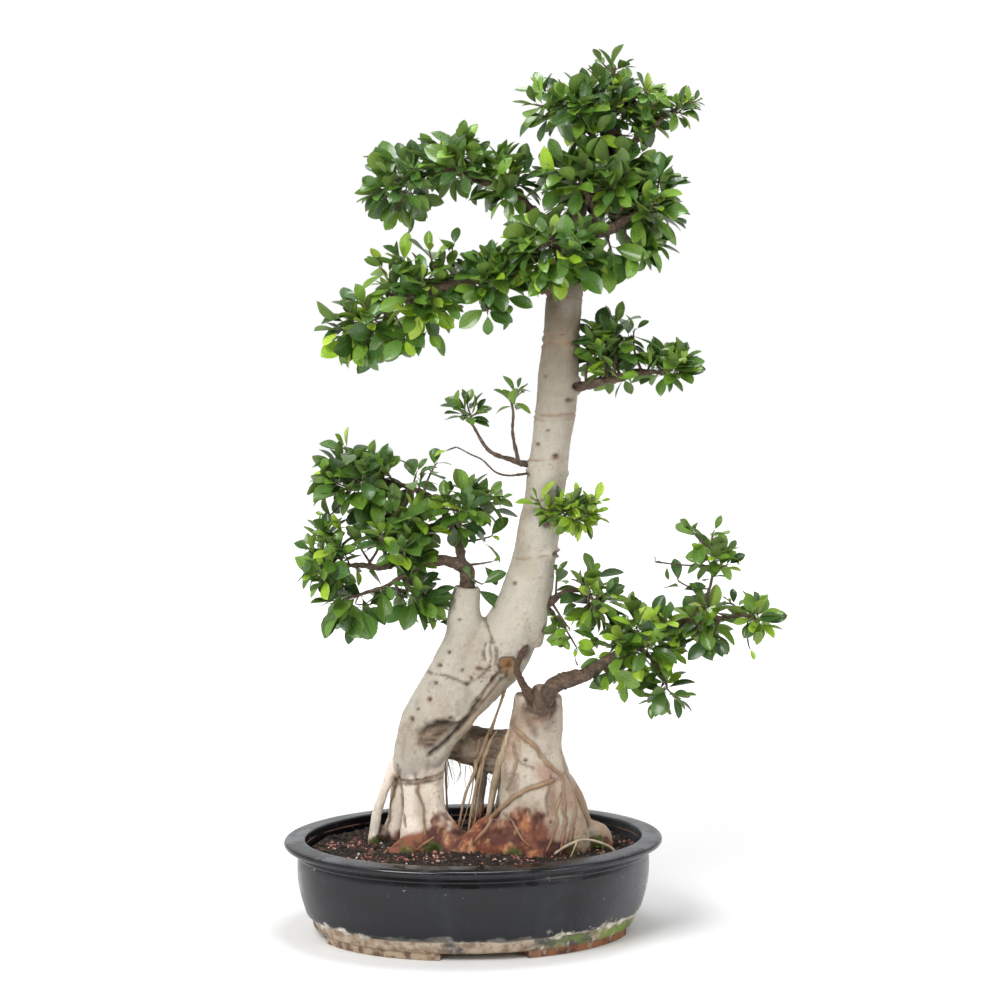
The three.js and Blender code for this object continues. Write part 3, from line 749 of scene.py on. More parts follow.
# %% Strands of the trunk
ROOT_END = 54
STRANDS = [
    ("cream", [(151, 2, 1078, 11), (143, 0, 1020, 18), (135, 0, 960, 25), (130, 0, 905, 27),
        (122, 0, 815, 29), (117, 0, 750, 28.5), (107, 0, 675, 29.5), (98, 0, 609, 31), (87, 0, 543, 33),
        (70, 0, 480, 39), (42, 0, 425, 45), (6, 2, 382, 46), (-35, 2, 342, 46), (-66, 2, 298, 43),
        (-82, 0, 254, 36), (-88, 2, 226, 26), (-92, 4, 200, 12)]),
    ("cream", [(-9, 0, 512, 20.5), (-13, 0, 480, 24), (-14, -2, 440, 29), (-27, -4, 396, 33),
        (-53, -6, 350, 34), (-76, -6, 306, 33), (-88, -4, 266, 28), (-91, -5, 238, 21),
        (-92, -8, 210, 11)]),
    ("cream", [(64, -18, 446, 22), (40, -22, 404, 20), (14, -24, 366, 19), (-12, -24, 326, 17),
        (-40, -22, 290, 16), (-62, -18, 262, 18)]),
    ("cream", [(20, 18, 420, 34), (-16, 22, 372, 32), (-52, 22, 318, 30), (-76, 18, 272, 26),
        (-88, 20, 238, 21), (-98, 24, 206, 12)]),
    ("cream", [(78, -8, 476, 33), (87, -12, 446, 20), (90, -12, 423, 9)]),
    ("cream", [(64, -16, 452, 20), (68, -22, 428, 12), (67, -22, 412, 6)]),
    ("leg", [(-94, 6, 262, 16), (-116, 8, 246, 9), (-138, 6, 190, 7), (-149, 0, 140, 8),
        (-160, -6, ROOT_END, 5)]),
    ("leg", [(-97, 20, 262, 22), (-108, 24, 215, 16), (-115, 24, 160, 15), (-120, 26, 128, 20),
        (-126, 30, ROOT_END, 10)]),
    ("leg", [(-90, -6, 256, 20), (-90, -12, 215, 15), (-88, -16, 170, 16), (-86, -18, 138, 22),
        (-84, -22, ROOT_END, 14)]),
    ("leg", [(-66, -4, 262, 26), (-63, -8, 225, 18), (-58, -14, 180, 18), (-46, -22, 152, 22),
        (-26, -30, 128, 22), (0, -36, 104, 18), (30, -40, ROOT_END, 9)]),
    ("grey", [(-44, 16, 284, 24), (-16, 18, 274, 29), (14, 18, 268, 32), (44, 12, 262, 36),
        (66, 6, 258, 34)]),
    ("grey", [(12, 20, 262, 24), (12, 20, 236, 13), (9, 18, 200, 8), (5, 15, 150, 8),
        (2, 12, ROOT_END, 6)]),
    ("tan", [(95, 0, 352, 35.5), (93, 0, 312, 40), (88, 0, 262, 44), (90, 0, 212, 54), (98, 0, 165, 68),
        (99, 0, 128, 76), (97, 0, ROOT_END, 50)]),
    ("tan", [(66, -14, 300, 16), (60, -24, 250, 20), (60, -34, 200, 22), (56, -42, 160, 20),
        (48, -50, 122, 16), (40, -54, ROOT_END, 8)]),
    ("tan", [(114, -14, 290, 14), (122, -26, 235, 16), (138, -32, 180, 19), (152, -38, 132, 18),
        (160, -44, ROOT_END, 8)]),
    ("tan", [(96, -30, 260, 18), (98, -40, 205, 22), (102, -50, 155, 22), (104, -58, 118, 16),
        (106, -62, ROOT_END, 8)]),
    ("tan", [(112, 20, 270, 17), (128, 34, 205, 20), (146, 48, 150, 20), (158, 58, 100, 10)]),
    ("tan", [(70, 24, 270, 20), (58, 38, 205, 22), (50, 52, 150, 20), (44, 62, 100, 10)]),
    ("tan", [(120, -2, 252, 8), (128, -4, 236, 9), (143, -4, 214, 10), (154, -4, 192, 11),
        (165, -5, 156, 11), (177, -6, 118, 12), (178, -6, ROOT_END, 6)]),
    ("tan", [(172, -6, 158, 9), (184, -8, 150, 12), (191, -9, 138, 13), (194, -8, 120, 11),
        (196, -8, ROOT_END, 6)]),
    ("rust", [(-58, -26, 140, 20), (-84, -34, 132, 21), (-110, -40, 122, 17), (-134, -46, 106, 10),
        (-146, -50, 80, 5)]),
    ("rust", [(-28, -34, 132, 20), (-36, -50, 122, 16), (-40, -66, 104, 9), (-42, -74, 80, 5)]),
    ("rust", [(-24, -24, 134, 20), (8, -34, 136, 21), (30, -42, 132, 22), (62, -52, 132, 22),
        (96, -58, 126, 18), (128, -60, 112, 12), (146, -60, 84, 6)]),
    ("rust", [(34, -26, 166, 18), (16, -34, 150, 21), (-4, -40, 134, 20), (-14, -52, 118, 14),
        (-20, -62, 90, 7)]),
    ("rust", [(70, -38, 168, 16), (76, -56, 146, 18), (84, -68, 128, 15), (90, -78, 106, 8)]),
    ("rust", [(20, 30, 122, 18), (70, 60, 124, 18), (120, 72, 112, 12), (150, 80, 80, 6)]),
    ("rust", [(-96, 30, 130, 16), (-84, 54, 122, 13), (-70, 72, 108, 8), (-62, 80, 80, 5)]),
    ("brown", [(97, -20, 368, 9), (98, -28, 354, 19), (98, -31, 338, 16), (99, -31, 324, 10),
        (99, -30, 310, 4)]),
]
TONES = {"cream": (0.485, 0.44, 0.365), "leg": (0.92, 0.8, 0.67), "tan": (0.52, 0.435, 0.34),
         "grey": (0.125, 0.084, 0.052), "rust": (0.25, 0.085, 0.04), "brown": (0.115, 0.07, 0.046)}


def welded_trunk():
    tubes = []
    for i, (_, stations) in enumerate(STRANDS):
        tubes.append(tube(stations, sides=20, step=7, wobble=0.1, seed=i * 3.1))
    points, faces = joined_tubes(tubes)
    piece = mesh_piece("trunk_wood", points, faces, [])
    apply_modifier(piece, "REMESH", mode="VOXEL", voxel_size=0.0026, use_smooth_shade=True)
    apply_modifier(piece, "SMOOTH", factor=0.5, iterations=7)
    return piece


trunk = welded_trunk()
print("trunk skin", len(trunk.data.polygons), "faces from", len(STRANDS), "strands")

# %% [markdown]
# ## Wood: scars, knots and colour
# The skin now gets what years of pruning left: knots, ring scars where wire bit in, a round saw
# cut, a hollow of dead wood, a crease where two strands meet. Each is a small move of the
# vertices along their normals, and each leaves a mark in the painted colour, so shape and
# colour always agree: the distance from a line or an oval becomes a mask, which is used twice.
# Texture painting could do the colour, but not from a script.

# %% Where the scars are
# Knots: along, height, half width, half height, how far it stands out.
KNOTS = [(-35, 419, 4.5, 4, 1.8), (-48, 400, 6, 4, 1.8), (-54, 375, 5, 4, 2.0), (-63, 351, 5, 6, 2.0),
         (-80, 336, 3.5, 3, 1.2), (-89, 321, 5, 6, 2.2), (-16, 394, 4, 4, 1.2), (-3, 383, 4, 5, 1.6),
         (9, 397, 7, 5, 2.2), (27, 381, 4.5, 8, 2.2), (-22, 316, 6, 5, 3.2), (-34, 326, 5, 4, 2.2),
         (137, 786, 8, 5, 2.5), (119, 705, 8, 6, 2.0), (94, 722, 5, 4, 1.2), (143, 678, 7, 7, 5.0),
         (116, 563, 8, 6, 6.0), (148, 806, 13, 10, 5.0), (76, 690, 9, 9, 5.0), (128, 880, 5, 4, 1.5),
         (92, 640, 4, 3, 1.0), (108, 742, 4, 3, 1.0), (60, 520, 5, 4, 1.2), (94, 188, 4.5, 4, 1.6),
         (112, 176, 4, 3.5, 1.4), (76, 262, 5, 4, 1.5), (-20, 466, 4, 3, 1.2), (104, 820, 4, 3, 1.2)]
# Ring scars: height, tilt, half width, depth.
RINGS = [(881, 0.05, 1.8, 1.1), (868, -0.02, 2.4, 1.5), (764, 0.03, 2.0, 1.2), (757, 0.06, 1.5, 0.8),
         (640, -0.05, 1.4, 0.5), (560, 0.08, 1.5, 0.6), (934, 0.0, 1.6, 0.8), (700, 0.05, 1.2, 0.4)]
SAW_CUT = (49, 402, 13)
SAW_CORNER = 2.3  # 2 would be round, more is squarer
HOLLOW = (-52, 298, 36, 24)
CREASE = [(6, 347), (-4, 330), (-22, 309), (-37, 290), (-62, 270)]
UNDER_CREASE = [(46, 384), (24, 354), (4, 330), (-20, 302)]
CORDS = [[(50, 392), (26, 362), (4, 334), (-22, 304)], [(36, 392), (16, 366), (-2, 346)]]
CRACKS = [[(27, 440), (24, 426), (26, 412), (22, 396), (8, 384), (-10, 374)],
          [(-66, 388), (-40, 386), (-10, 374)], [(14, 482), (18, 462), (27, 440)],
          [(30, 436), (34, 420), (32, 404)], [(18, 432), (14, 420), (18, 408)],
          [(38, 398), (28, 380), (12, 356), (6, 347)], [(-108, 226), (-86, 229), (-60, 233), (-45, 238)],
          [(-106, 221), (-86, 223), (-60, 227), (-46, 231)],
          [(-112, 250), (-108, 214), (-104, 180), (-100, 160)]]
# Ovals: along, height, half width, half height.
CAVITY = (77, 418, 8, 12)
WEB_OF_CRACKS = (20, 392, 26, 20)
ROUGH_SIDE = (54, 268, 15, 66)
UNDER_CALLUS = (74, 326, 22, 20)
PINK_PATCH = (108, 236, 26, 20)
CALLUS, CALLUS_SIZE = (98, -36, 345), (27, 34, 25)
STUMP_TOPS = [(-9, 511, 24), (95, 351, 40)]
SOIL_TOP = 124
# Green stain: a place on the tree and how far it reaches.
ALGAE = [(-60, -52, 132, 17), (-140, -8, 134, 16), (146, -40, 146, 20), (182, -22, 136, 12),
         (-96, -50, 128, 14), (60, -72, 128, 12), (120, 60, 135, 26), (-90, 50, 130, 20)]
print(len(KNOTS), "knots,", len(RINGS), "ring scars,", len(CRACKS), "cracks")

# %% Masks, stains and painted light


def ramp(value, low, high):
    """0 at low and 1 at high, with soft ends; it falls when low is the larger."""
    t = np.clip((value - low) / (high - low), 0, 1)
    return t * t * (3 - 2 * t)


def bell(value, width, power=2):
    """1 at zero, falling to nothing a little past width; a higher power is flatter on top."""
    return np.exp(-(value / width) ** power)


def oval_distance(places, x, z, half_width, half_height):
    return np.hypot((places[:, 0] - x) / half_width, (places[:, 2] - z) / half_height)


def line_distance(places, line):
    nearest = np.full(len(places), 1e9)
    for (xa, za), (xb, zb) in zip(line, line[1:]):
        step = np.array((xb - xa, zb - za), float)
        offset = places[:, (0, 2)] - (xa, za)
        t = np.clip(offset @ step / step.dot(step), 0, 1)
        nearest = np.minimum(nearest, np.linalg.norm(offset - t[:, None] * step, axis=1))
    return nearest


def strand_tones(places):
    """The tone of the strand that each place belongs to."""
    rings = []
    for tone, stations in STRANDS:
        rings += [(tuple(ring[:3]), ring[3], tone) for ring in smooth_path(stations, 9)]
    tree = tree_of([centre for centre, _, _ in rings])
    tones = []
    for place in places:
        found = tree.find_n(place, 8)
        best = min(found, key=lambda hit: hit[2] - rings[hit[1]][1])
        tones.append(TONES[rings[best[1]][2]])
    return np.array(tones)


def blurred(piece, values, rounds):
    """Each vertex's value averaged with its neighbours', a few times over."""
    edges = np.empty(len(piece.data.edges) * 2, np.int64)
    piece.data.edges.foreach_get("vertices", edges)
    a, b = edges.reshape(-1, 2).T
    count = np.bincount(a, minlength=len(values)) + np.bincount(b, minlength=len(values)) + 1.0
    for _ in range(rounds):
        total = values.copy()
        np.add.at(total, a, values[b])
        np.add.at(total, b, values[a])
        values = total / count[:, None]
    return values


class Skin:
    """A piece's vertices as places on the tree, the noises that weather them, and two results:
    how far each moves along its normal, in millimetres, and its colour."""

    def __init__(self, piece):
        self.piece = piece
        self.points, self.normals = mesh_points(piece), mesh_normals(piece)
        self.places = tree_places(self.points)
        self.along, self.away, self.height = self.places.T
        facing = -(self.normals[:, 0] * SIN + self.normals[:, 1] * COS)
        self.front = ramp(facing, 0.05, 0.4)
        self.grain = self.noise(17, 5, (1, 1, 4.5))
        self.lumps, self.pits, self.fine = self.noise(42, 1), self.noise(9, 2), self.noise(4.5, 9)
        self.low = ramp(self.height, 520, 250)
        self.move = np.zeros(len(self.points))
        self.colour = blurred(piece, strand_tones(self.places), 5)

    def noise(self, size, seed, stretch=(1, 1, 1)):
        return noise_at(self.places / stretch, size, seed)

    # Blends a tone in by a mask; it lays real stains and also painted shade and painted highlight.
    def stain_and_light(self, mask, tone, strength=1.0):
        amount = np.clip(mask * strength, 0, 1)[:, None]
        self.colour = self.colour * (1 - amount) + np.array(tone) * amount

    def finish(self):
        set_points(self.piece, self.points + self.normals * (self.move * MM)[:, None])
        self.colour *= (1 + 0.1 * self.lumps + 0.1 * self.pits + 0.06 * self.fine)[:, None]
        paint(self.piece, "bark_tone", np.clip(self.colour, 0, 1))


print("masks and stains ready")

# %% Grain, broad stains and the crown's painted shadow


def grow_bark(skin):
    """Grain, pits, the cracked grey bark of the bridge, the broad stains of age and a painted shadow of
    the crown on the upper trunk.
    """
    stain_and_light = skin.stain_and_light
    along, height, pits = skin.along, skin.height, skin.pits
    skin.move += (1.5 * skin.lumps + (0.5 + 1.1 * skin.low) * skin.grain
                  + (0.35 + 0.35 * skin.low) * pits + 0.22 * skin.fine)
    leg = ramp(height, 236, 214) * ramp(along, -12, -30)
    low_stain = skin.low * (1 - 0.75 * leg)
    right = ramp(along, 34, 52) * ramp(height, 345, 330)
    # The upper trunk turns brown toward the crown: partly a brown stain, partly the painted shadow of the
    # crown.
    stain_and_light(ramp(height + 10 * skin.lumps, 660, 900), (0.125, 0.092, 0.052), 0.92)

    grey = ramp(skin.colour.mean(axis=1), 0.3, 0.17) * ramp(height, 205, 225) * (height < 345)
    cracked = np.abs(skin.noise(9, 61, (2.2, 1, 1)))
    skin.move += grey * (2.4 * cracked - 1.6 + 1.2 * pits)
    stain_and_light(grey * ramp(cracked, 0.16, 0.03), (0.045, 0.028, 0.018), 0.85)
    stain_and_light(grey * ramp(skin.noise(8, 63, (2.5, 1, 1)), 0.1, 0.5), (0.27, 0.2, 0.135), 0.5)

    patches = skin.noise(30, 7, (1, 1, 2.2))
    stain_and_light(ramp(patches, 0.05, 0.5) * (1 - 0.7 * leg), (0.37, 0.3, 0.215), 0.45)
    stain_and_light(ramp(skin.noise(70, 4), 0.1, 0.55), (0.58, 0.54, 0.475), 0.45)
    stain_and_light(ramp(pits - 0.4 * skin.lumps, 0.25, 0.6) * low_stain, (0.28, 0.2, 0.13), 0.5)
    stain_and_light(ramp(-skin.grain, 0.12, 0.5) * low_stain, (0.24, 0.165, 0.105), 0.5)
    stain_and_light(right * ramp(skin.noise(34, 21, (1, 1, 1.6)), -0.05, 0.35), (0.33, 0.185, 0.115), 0.6)
    stain_and_light(right * ramp(skin.noise(26, 23), 0.15, 0.45), (0.53, 0.44, 0.33), 0.6)
    speckle = skin.noise(3.2, 31) + 0.5 * skin.noise(22, 33)
    stain_and_light(ramp(speckle, 0.52, 0.75), (0.26, 0.17, 0.1), 0.6)


skin = Skin(trunk)
grow_bark(skin)
print("bark grown on", len(skin.points), "points")

# %% Knots, rings and the saw cut


def add_knots(skin):
    stain_and_light = skin.stain_and_light
    for x, z, width, height, rise in KNOTS:
        d = oval_distance(skin.places, x, z, width, height)
        skin.move += skin.front * (1.25 * rise * bell(d - 0.9, 0.45) - 1.1 * rise * bell(d, 0.5))
        stain_and_light(skin.front * bell(d, 0.8, 4), (0.22, 0.14, 0.085), 0.85)
        stain_and_light(skin.front * bell(d, 0.45, 4), (0.075, 0.046, 0.03), 0.9)


def add_rings(skin):
    stain_and_light = skin.stain_and_light
    for z, tilt, half, depth in RINGS:
        gap = skin.height - z - tilt * (skin.along - 110) - 2.4 * skin.lumps
        band = bell(gap, half) * ramp(skin.noise(16, z), -0.35, 0.1)
        band *= skin.along > 20
        skin.move += -depth * band + 0.8 * depth * bell(np.abs(gap) - 2.2 * half, half)
        stain_and_light(band, (0.24, 0.145, 0.085), 0.8)


def add_saw_cut(skin):
    """A collar of healed bark round a sunk, rotting face."""
    stain_and_light = skin.stain_and_light
    x, z, size = SAW_CUT
    front, pits, fine = skin.front, skin.pits, skin.fine
    sideways, upright = np.abs((skin.along - x) / size), np.abs((skin.height - z) / size)
    d = (sideways ** SAW_CORNER + upright ** SAW_CORNER) ** (1 / SAW_CORNER) + 0.12 * pits
    skin.move += front * (6.0 * bell(d - 1.2, 0.22) - 4.5 * ramp(d, 1.02, 0.8))
    stain_and_light(front * ramp(d, 1.08, 0.96), (0.4, 0.27, 0.15))
    stain_and_light(front * ramp(d + 0.2 * pits, 0.8, 0.45), (0.33, 0.145, 0.045), 0.9)
    stain_and_light(front * ramp(d + 0.3 * fine, 0.35, 0.1), (0.12, 0.05, 0.02), 0.8)
    stain_and_light(front * bell(d - 1.04, 0.11), (0.055, 0.034, 0.024), 0.95)
    stain_and_light(front * bell(d - 1.45, 0.08) * ramp(fine, -0.3, 0.2), (0.16, 0.11, 0.07), 0.7)


add_knots(skin)
add_rings(skin)
add_saw_cut(skin)
print(len(KNOTS), "knots,", len(RINGS), "rings and a saw cut")

# %% Hollow, crease and cracks


def add_hollow(skin):
    """Dead, splintered wood under a lip of bark, above the crease."""
    stain_and_light = skin.stain_and_light
    x, z, width, height = HOLLOW
    front, pits, fine = skin.front, skin.pits, skin.fine
    above_crease = ramp((skin.height - 266) - 0.98 * (skin.along + 66), 2, 12)
    rise = 0.18 * (skin.along - x)
    d = np.hypot((skin.along - x) / width, (skin.height - z - rise) / height) + 0.16 * pits + 0.1 * fine
    inside = front * above_crease * ramp(d, 1.0, 0.72)
    shade = ramp(skin.height - z - rise, 2, 18)
    splinters = skin.noise(5, 43, (2.6, 1, 1))
    skin.move += inside * (1.8 * splinters - 9.0 * (0.45 + 0.55 * shade))
    skin.move += front * above_crease * 3.4 * bell(d - 1.14, 0.13) * ramp(skin.height, 292, 312)
    stain_and_light(inside, (0.185, 0.13, 0.083), 0.95)
    stain_and_light(inside * ramp(splinters, 0.0, 0.4), (0.34, 0.255, 0.17), 0.55)
    # Near black between the splinters: painted shade in the gaps.
    stain_and_light(inside * ramp(-splinters, 0.1, 0.4), (0.06, 0.04, 0.027), 0.75)
    stain_and_light(inside * shade * ramp(d, 1.0, 0.8), (0.055, 0.036, 0.024), 0.85)
    stain_and_light(inside * ramp(fine + pits, 0.15, 0.5), (0.1, 0.066, 0.043), 0.6)


def add_creases(skin):
    """The brown strand under the crease with its cords and web of cracks, then the crease."""
    stain_and_light = skin.stain_and_light
    places, front, pits = skin.places, skin.front, skin.pits
    d = line_distance(places, UNDER_CREASE) + 2.0 * pits
    stain_and_light(front * ramp(d, 17, 8) * ramp(skin.grain, -0.35, 0.15), (0.33, 0.235, 0.145), 0.62)
    for line in CORDS:
        d = line_distance(places, line) + 1.6 * pits
        skin.move -= 1.8 * front * bell(d, 1.8)
        stain_and_light(front * bell(d, 1.8), (0.1, 0.066, 0.043), 0.8)
    d = oval_distance(places, *WEB_OF_CRACKS) + 0.5 * pits
    web = np.abs(skin.noise(8, 71, (1.6, 1, 1)))
    skin.move -= 1.6 * front * ramp(d, 1.1, 0.6) * ramp(web, 0.1, 0.02)
    stain_and_light(front * ramp(d, 1.1, 0.6) * ramp(web, 0.09, 0.02), (0.13, 0.085, 0.055), 0.75)
    stain_and_light(front * ramp(d, 1.2, 0.4) * ramp(pits, -0.1, 0.4), (0.36, 0.27, 0.18), 0.45)
    # The crease is sunk and painted near black: painted shade deep in the fold.
    d = line_distance(places, CREASE) + 2.2 * pits
    skin.move -= 7.5 * front * bell(d, 4.6)
    stain_and_light(front * bell(d, 4.2), (0.045, 0.03, 0.021), 0.95)


def add_cracks(skin):
    stain_and_light = skin.stain_and_light
    for crack in CRACKS:
        d = line_distance(skin.places, crack) + 1.6 * skin.pits + 0.8 * skin.fine
        skin.move += skin.front * (-1.5 * bell(d, 1.7) + 0.7 * bell(d - 4, 1.6))
        stain_and_light(skin.front * bell(d, 1.9), (0.12, 0.078, 0.05), 0.8)
    # The cavity is sunk and painted near black: painted shade in the hole.
    d = oval_distance(skin.places, *CAVITY)
    skin.move -= 7.0 * skin.front * bell(d, 0.8, 4)
    stain_and_light(skin.front * bell(d, 0.95, 4), (0.05, 0.032, 0.022), 0.95)


add_hollow(skin)
add_creases(skin)
add_cracks(skin)
print("hollow, crease and", len(CRACKS), "cracks")

# %% Stumps, callus and the foot of the tree


def weather_stumps(skin):
    """Growth rings on the sawn tops; rough, dark and pink patches on the right stump."""
    stain_and_light, pits = skin.stain_and_light, skin.pits
    up = ramp(skin.normals[:, 2], 0.75, 0.92)
    for x, top, reach in STUMP_TOPS:
        near = (np.abs(skin.along - x) < reach) * ramp(skin.height, top - 7, top - 3)
        rings_of_growth = 0.5 + 0.5 * np.sin(np.hypot(skin.along - x, skin.away) * 1.3 + 2 * pits)
        stain_and_light(near * up, (0.33, 0.25, 0.17), 0.9)
        stain_and_light(near * up * rings_of_growth, (0.16, 0.11, 0.07), 0.5)
    d = oval_distance(skin.places, *ROUGH_SIDE) + 0.4 * pits
    rough_side = ramp(d, 1.15, 0.6) * ramp(skin.height, 200, 220)
    skin.move += rough_side * (1.2 * pits + 0.8 * skin.fine)
    stain_and_light(rough_side * ramp(skin.grain + 0.5 * skin.fine, -0.25, 0.3), (0.24, 0.165, 0.105), 0.7)
    d = oval_distance(skin.places, *UNDER_CALLUS) + 0.4 * pits
    stain_and_light(ramp(d, 1.1, 0.5), (0.27, 0.19, 0.125), 0.55)
    pink = ramp(oval_distance(skin.places, *PINK_PATCH) + 0.3 * skin.lumps, 1.1, 0.5)
    stain_and_light(skin.front * pink, (0.5, 0.3, 0.235), 0.5)


def rust_foot(skin, above_soil):
    """The red-brown, ridged root mass near the soil, higher in the middle than at the sides."""
    stain_and_light = skin.stain_and_light
    pits, lumps = skin.pits, skin.lumps
    reach = 12 + 34 * ramp(skin.along, -78, -50) + 14 * ramp(skin.along, 20, 50)
    reach = reach - 52 * ramp(skin.along, 96, 128)
    rusty = ramp(above_soil - reach + 20 * lumps + 13 * pits, 10, -8)
    ridges = skin.noise(13, 53, (1.5, 1, 1.5))
    skin.move += rusty * (3.2 * ridges + 1.4 * skin.noise(6, 55))
    stain_and_light(rusty, (0.205, 0.055, 0.024), 0.9)
    # Orange on the raised ridges is a painted highlight; near black in the troughs between them is painted
    # shade.
    stain_and_light(rusty * ramp(ridges + 0.6 * skin.fine, 0.12, 0.5), (0.5, 0.205, 0.085), 0.75)
    stain_and_light(rusty * ramp(-ridges - 0.5 * lumps, 0.05, 0.4), (0.05, 0.015, 0.012), 0.9)
    stain_and_light(rusty * ramp(skin.noise(34, 51), 0.08, 0.35), (0.07, 0.018, 0.014), 0.8)
    streaks = skin.noise(6, 57, (1, 1, 3.0))
    stain_and_light(rusty * ramp(streaks + 0.5 * ridges, 0.3, 0.6), (0.6, 0.36, 0.2), 0.55)
    stain_and_light(rusty * ramp(-streaks, 0.3, 0.55), (0.11, 0.026, 0.016), 0.6)


def weather_foot(skin):
    """Rust, the callus over the right stump, wet soil on the wood and green algae."""
    stain_and_light = skin.stain_and_light
    pits, fine = skin.pits, skin.fine
    above_soil = skin.height - SOIL_TOP
    rust_foot(skin, above_soil)
    d = np.linalg.norm((skin.places - CALLUS) / CALLUS_SIZE, axis=1) + 0.3 * pits + 0.2 * fine
    callus = ramp(d, 1.05, 0.8)
    skin.move += callus * (2.0 * pits + 1.2 * fine)
    stain_and_light(callus, (0.105, 0.064, 0.042), 0.95)
    stain_and_light(callus * ramp(fine, 0.0, 0.5), (0.2, 0.135, 0.092), 0.7)
    stain_and_light(ramp(above_soil + 4 * pits, 7, -1), (0.045, 0.028, 0.018), 0.85)
    for *place, reach in ALGAE:
        d = np.linalg.norm((skin.places - place) / reach, axis=1)
        mask = ramp(d + 0.45 * pits + 0.3 * fine, 1.0, 0.55)
        skin.move += 1.4 * mask
        stain_and_light(mask, (0.085, 0.115, 0.022), 0.9)
        stain_and_light(mask * ramp(fine, 0.0, 0.5), (0.2, 0.24, 0.055), 0.6)


weather_stumps(skin)
weather_foot(skin)
skin.finish()
print("trunk weathered,", len(skin.points), "points")

# %% Fig bark


def bark_finish(name, pore_strength=0.55, depth=1.0):
    """Smooth fig bark: the painted tone, crossed by fine sideways pores and small cracks."""
    f = Finish(name)
    tone = f.attribute("bark_tone")
    pores = f.noise(1.0, 5, 0.65, f.stretched(170, 170, 620))
    cracks = f.noise(1.0, 6, 0.6, f.stretched(240, 240, 60))
    grain = f.noise(700, 4, 0.6)
    dots = f.between(f.cells(230, place=f.stretched(1, 1, 1.7)), 0.16, 0.05)
    dots = f.times(dots, f.between(f.noise(24, 3), 0.4, 0.56))
    dark = f.times(f.between(pores, 0.56, 0.72), pore_strength)
    colour = f.mix(dark, tone, f.scaled(tone, 0.52))
    colour = f.mix(f.times(f.between(cracks, 0.6, 0.78), 0.45), colour, f.scaled(tone, 0.45))
    colour = f.mix(f.times(dots, 0.85), colour, f.mix(0.35, (0.13, 0.075, 0.045), tone))
    colour = f.mix(f.between(grain, 0.3, 0.72, 0.0, 0.38), colour, f.scaled(tone, 0.66))
    flecks = f.between(f.noise(1.0, 3, 0.7, f.stretched(900, 900, 420)), 0.56, 0.7)
    colour = f.mix(f.times(flecks, 0.35), colour, f.scaled(tone, 1.22))
    relief = f.plus(f.times(pores, -0.5), f.times(cracks, -0.6))
    relief = f.plus(relief, f.math("MULTIPLY_ADD", grain, 0.35, f.times(dots, 0.6)))
    return f.set(Base_Color=colour, Roughness=f.between(grain, 0.2, 0.8, 0.62, 0.82),
                 Normal=f.bump(relief, 0.0024 * depth, 1.0))


trunk.data.materials.append(bark_finish("pale_fig_bark"))
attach(trunk, "root")
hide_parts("trunk")
print("trunk in", trunk.data.materials[0].name)

# %% [markdown]
# ## Roots that stand free
# Hanging roots, the root that climbs from the stump to the cut, and the thin ones that clasp the
# right stump. The free ones follow their packed routes. The clasping ones are drawn as lines
# and laid on the wood by casting a ray at each step, which is how they grow: over whatever is
# there. Drawing them in three dimensions by hand would leave gaps.

# %% Roots
FREE_ROOTS = {
    "root_climbing": [
        [(92, -30, 344, 6), (84, -36, 352, 7.5), (74, -42, 370, 6.5), (66, -47, 388, 5.2),
         (63, -48, 400, 5), (68, -42, 414, 5.2), (75, -30, 427, 4.6), (82, -16, 436, 3.6),
         (90, 0, 442, 2)]],
    "root_tan": [
        [(54, None, 306, 2.0), (48, None, 290, 4.5), (43, None, 270, 6.2), (37, None, 250, 7.0),
         (31, -15, 222, 6.4), (24, -15, 185, 5), (18, -14, 150, 4.6), (12, -16, 112, 5.5)]],
    "root_aerial_long": [
        [(58, -10, 405, 2.4), (50, -12, 376, 1.9), (43, -12, 352, 2.6), (38, -10, 336, 1.8),
         (31, -8, 316, 1.9), (25, 0, 296, 3), (22, 8, 282, 3)]],
    "root_aerial_left": [
        [(24, None, 304, 1.2), (18, None, 286, 2.2), (11, None, 266, 3), (4, None, 249, 3),
         (1, -13, 238, 2.4), (-12, -14, 206, 2), (-20, -17, 170, 1.7), (-30, -18, 112, 2)],
        [(8, None, 286, 1.2), (5, None, 268, 1.8), (2, None, 252, 1.6), (0, -12, 232, 1.1),
         (-6, -14, 196, 0.9), (-24, -20, 140, 0.8), (-34, -24, 112, 1)]],
    "root_aerial_middle": [
        [(34, None, 300, 1.2), (25, None, 284, 2.2), (17, None, 264, 3), (12, None, 248, 2.8),
         (8, -15, 236, 2.4), (-2, -22, 192, 2), (-8, -32, 150, 1.8), (-14, -44, 112, 2.2)],
        [(20, None, 276, 1.2), (15, None, 256, 1.6), (10, -16, 226, 1.2), (2, -26, 170, 1),
         (-6, -38, 114, 1)]],
    "root_aerial_near_leg": [
        [(-44, 10, 272, 3), (-42, 12, 236, 1.9), (-41, 14, 200, 1.7), (-39, 18, 150, 1.6),
         (-38, 20, 112, 2)],
        [(-44, 8, 268, 1.6), (-36, 6, 240, 0.9), (-32, 8, 222, 0.6)]],
    "root_surface": [
        [(106, -64, 126, 3), (118, -72, 131, 2.2), (132, -73, 141, 2.1), (150, -68, 148, 2.2),
         (164, -63, 149, 1.9), (182, -57, 144, 1.9), (200, -52, 135, 1.8), (214, -49, 118, 1.8)],
        [(150, -68, 148, 1.4), (146, -76, 140, 0.9), (140, -82, 128, 0.8)]],
}
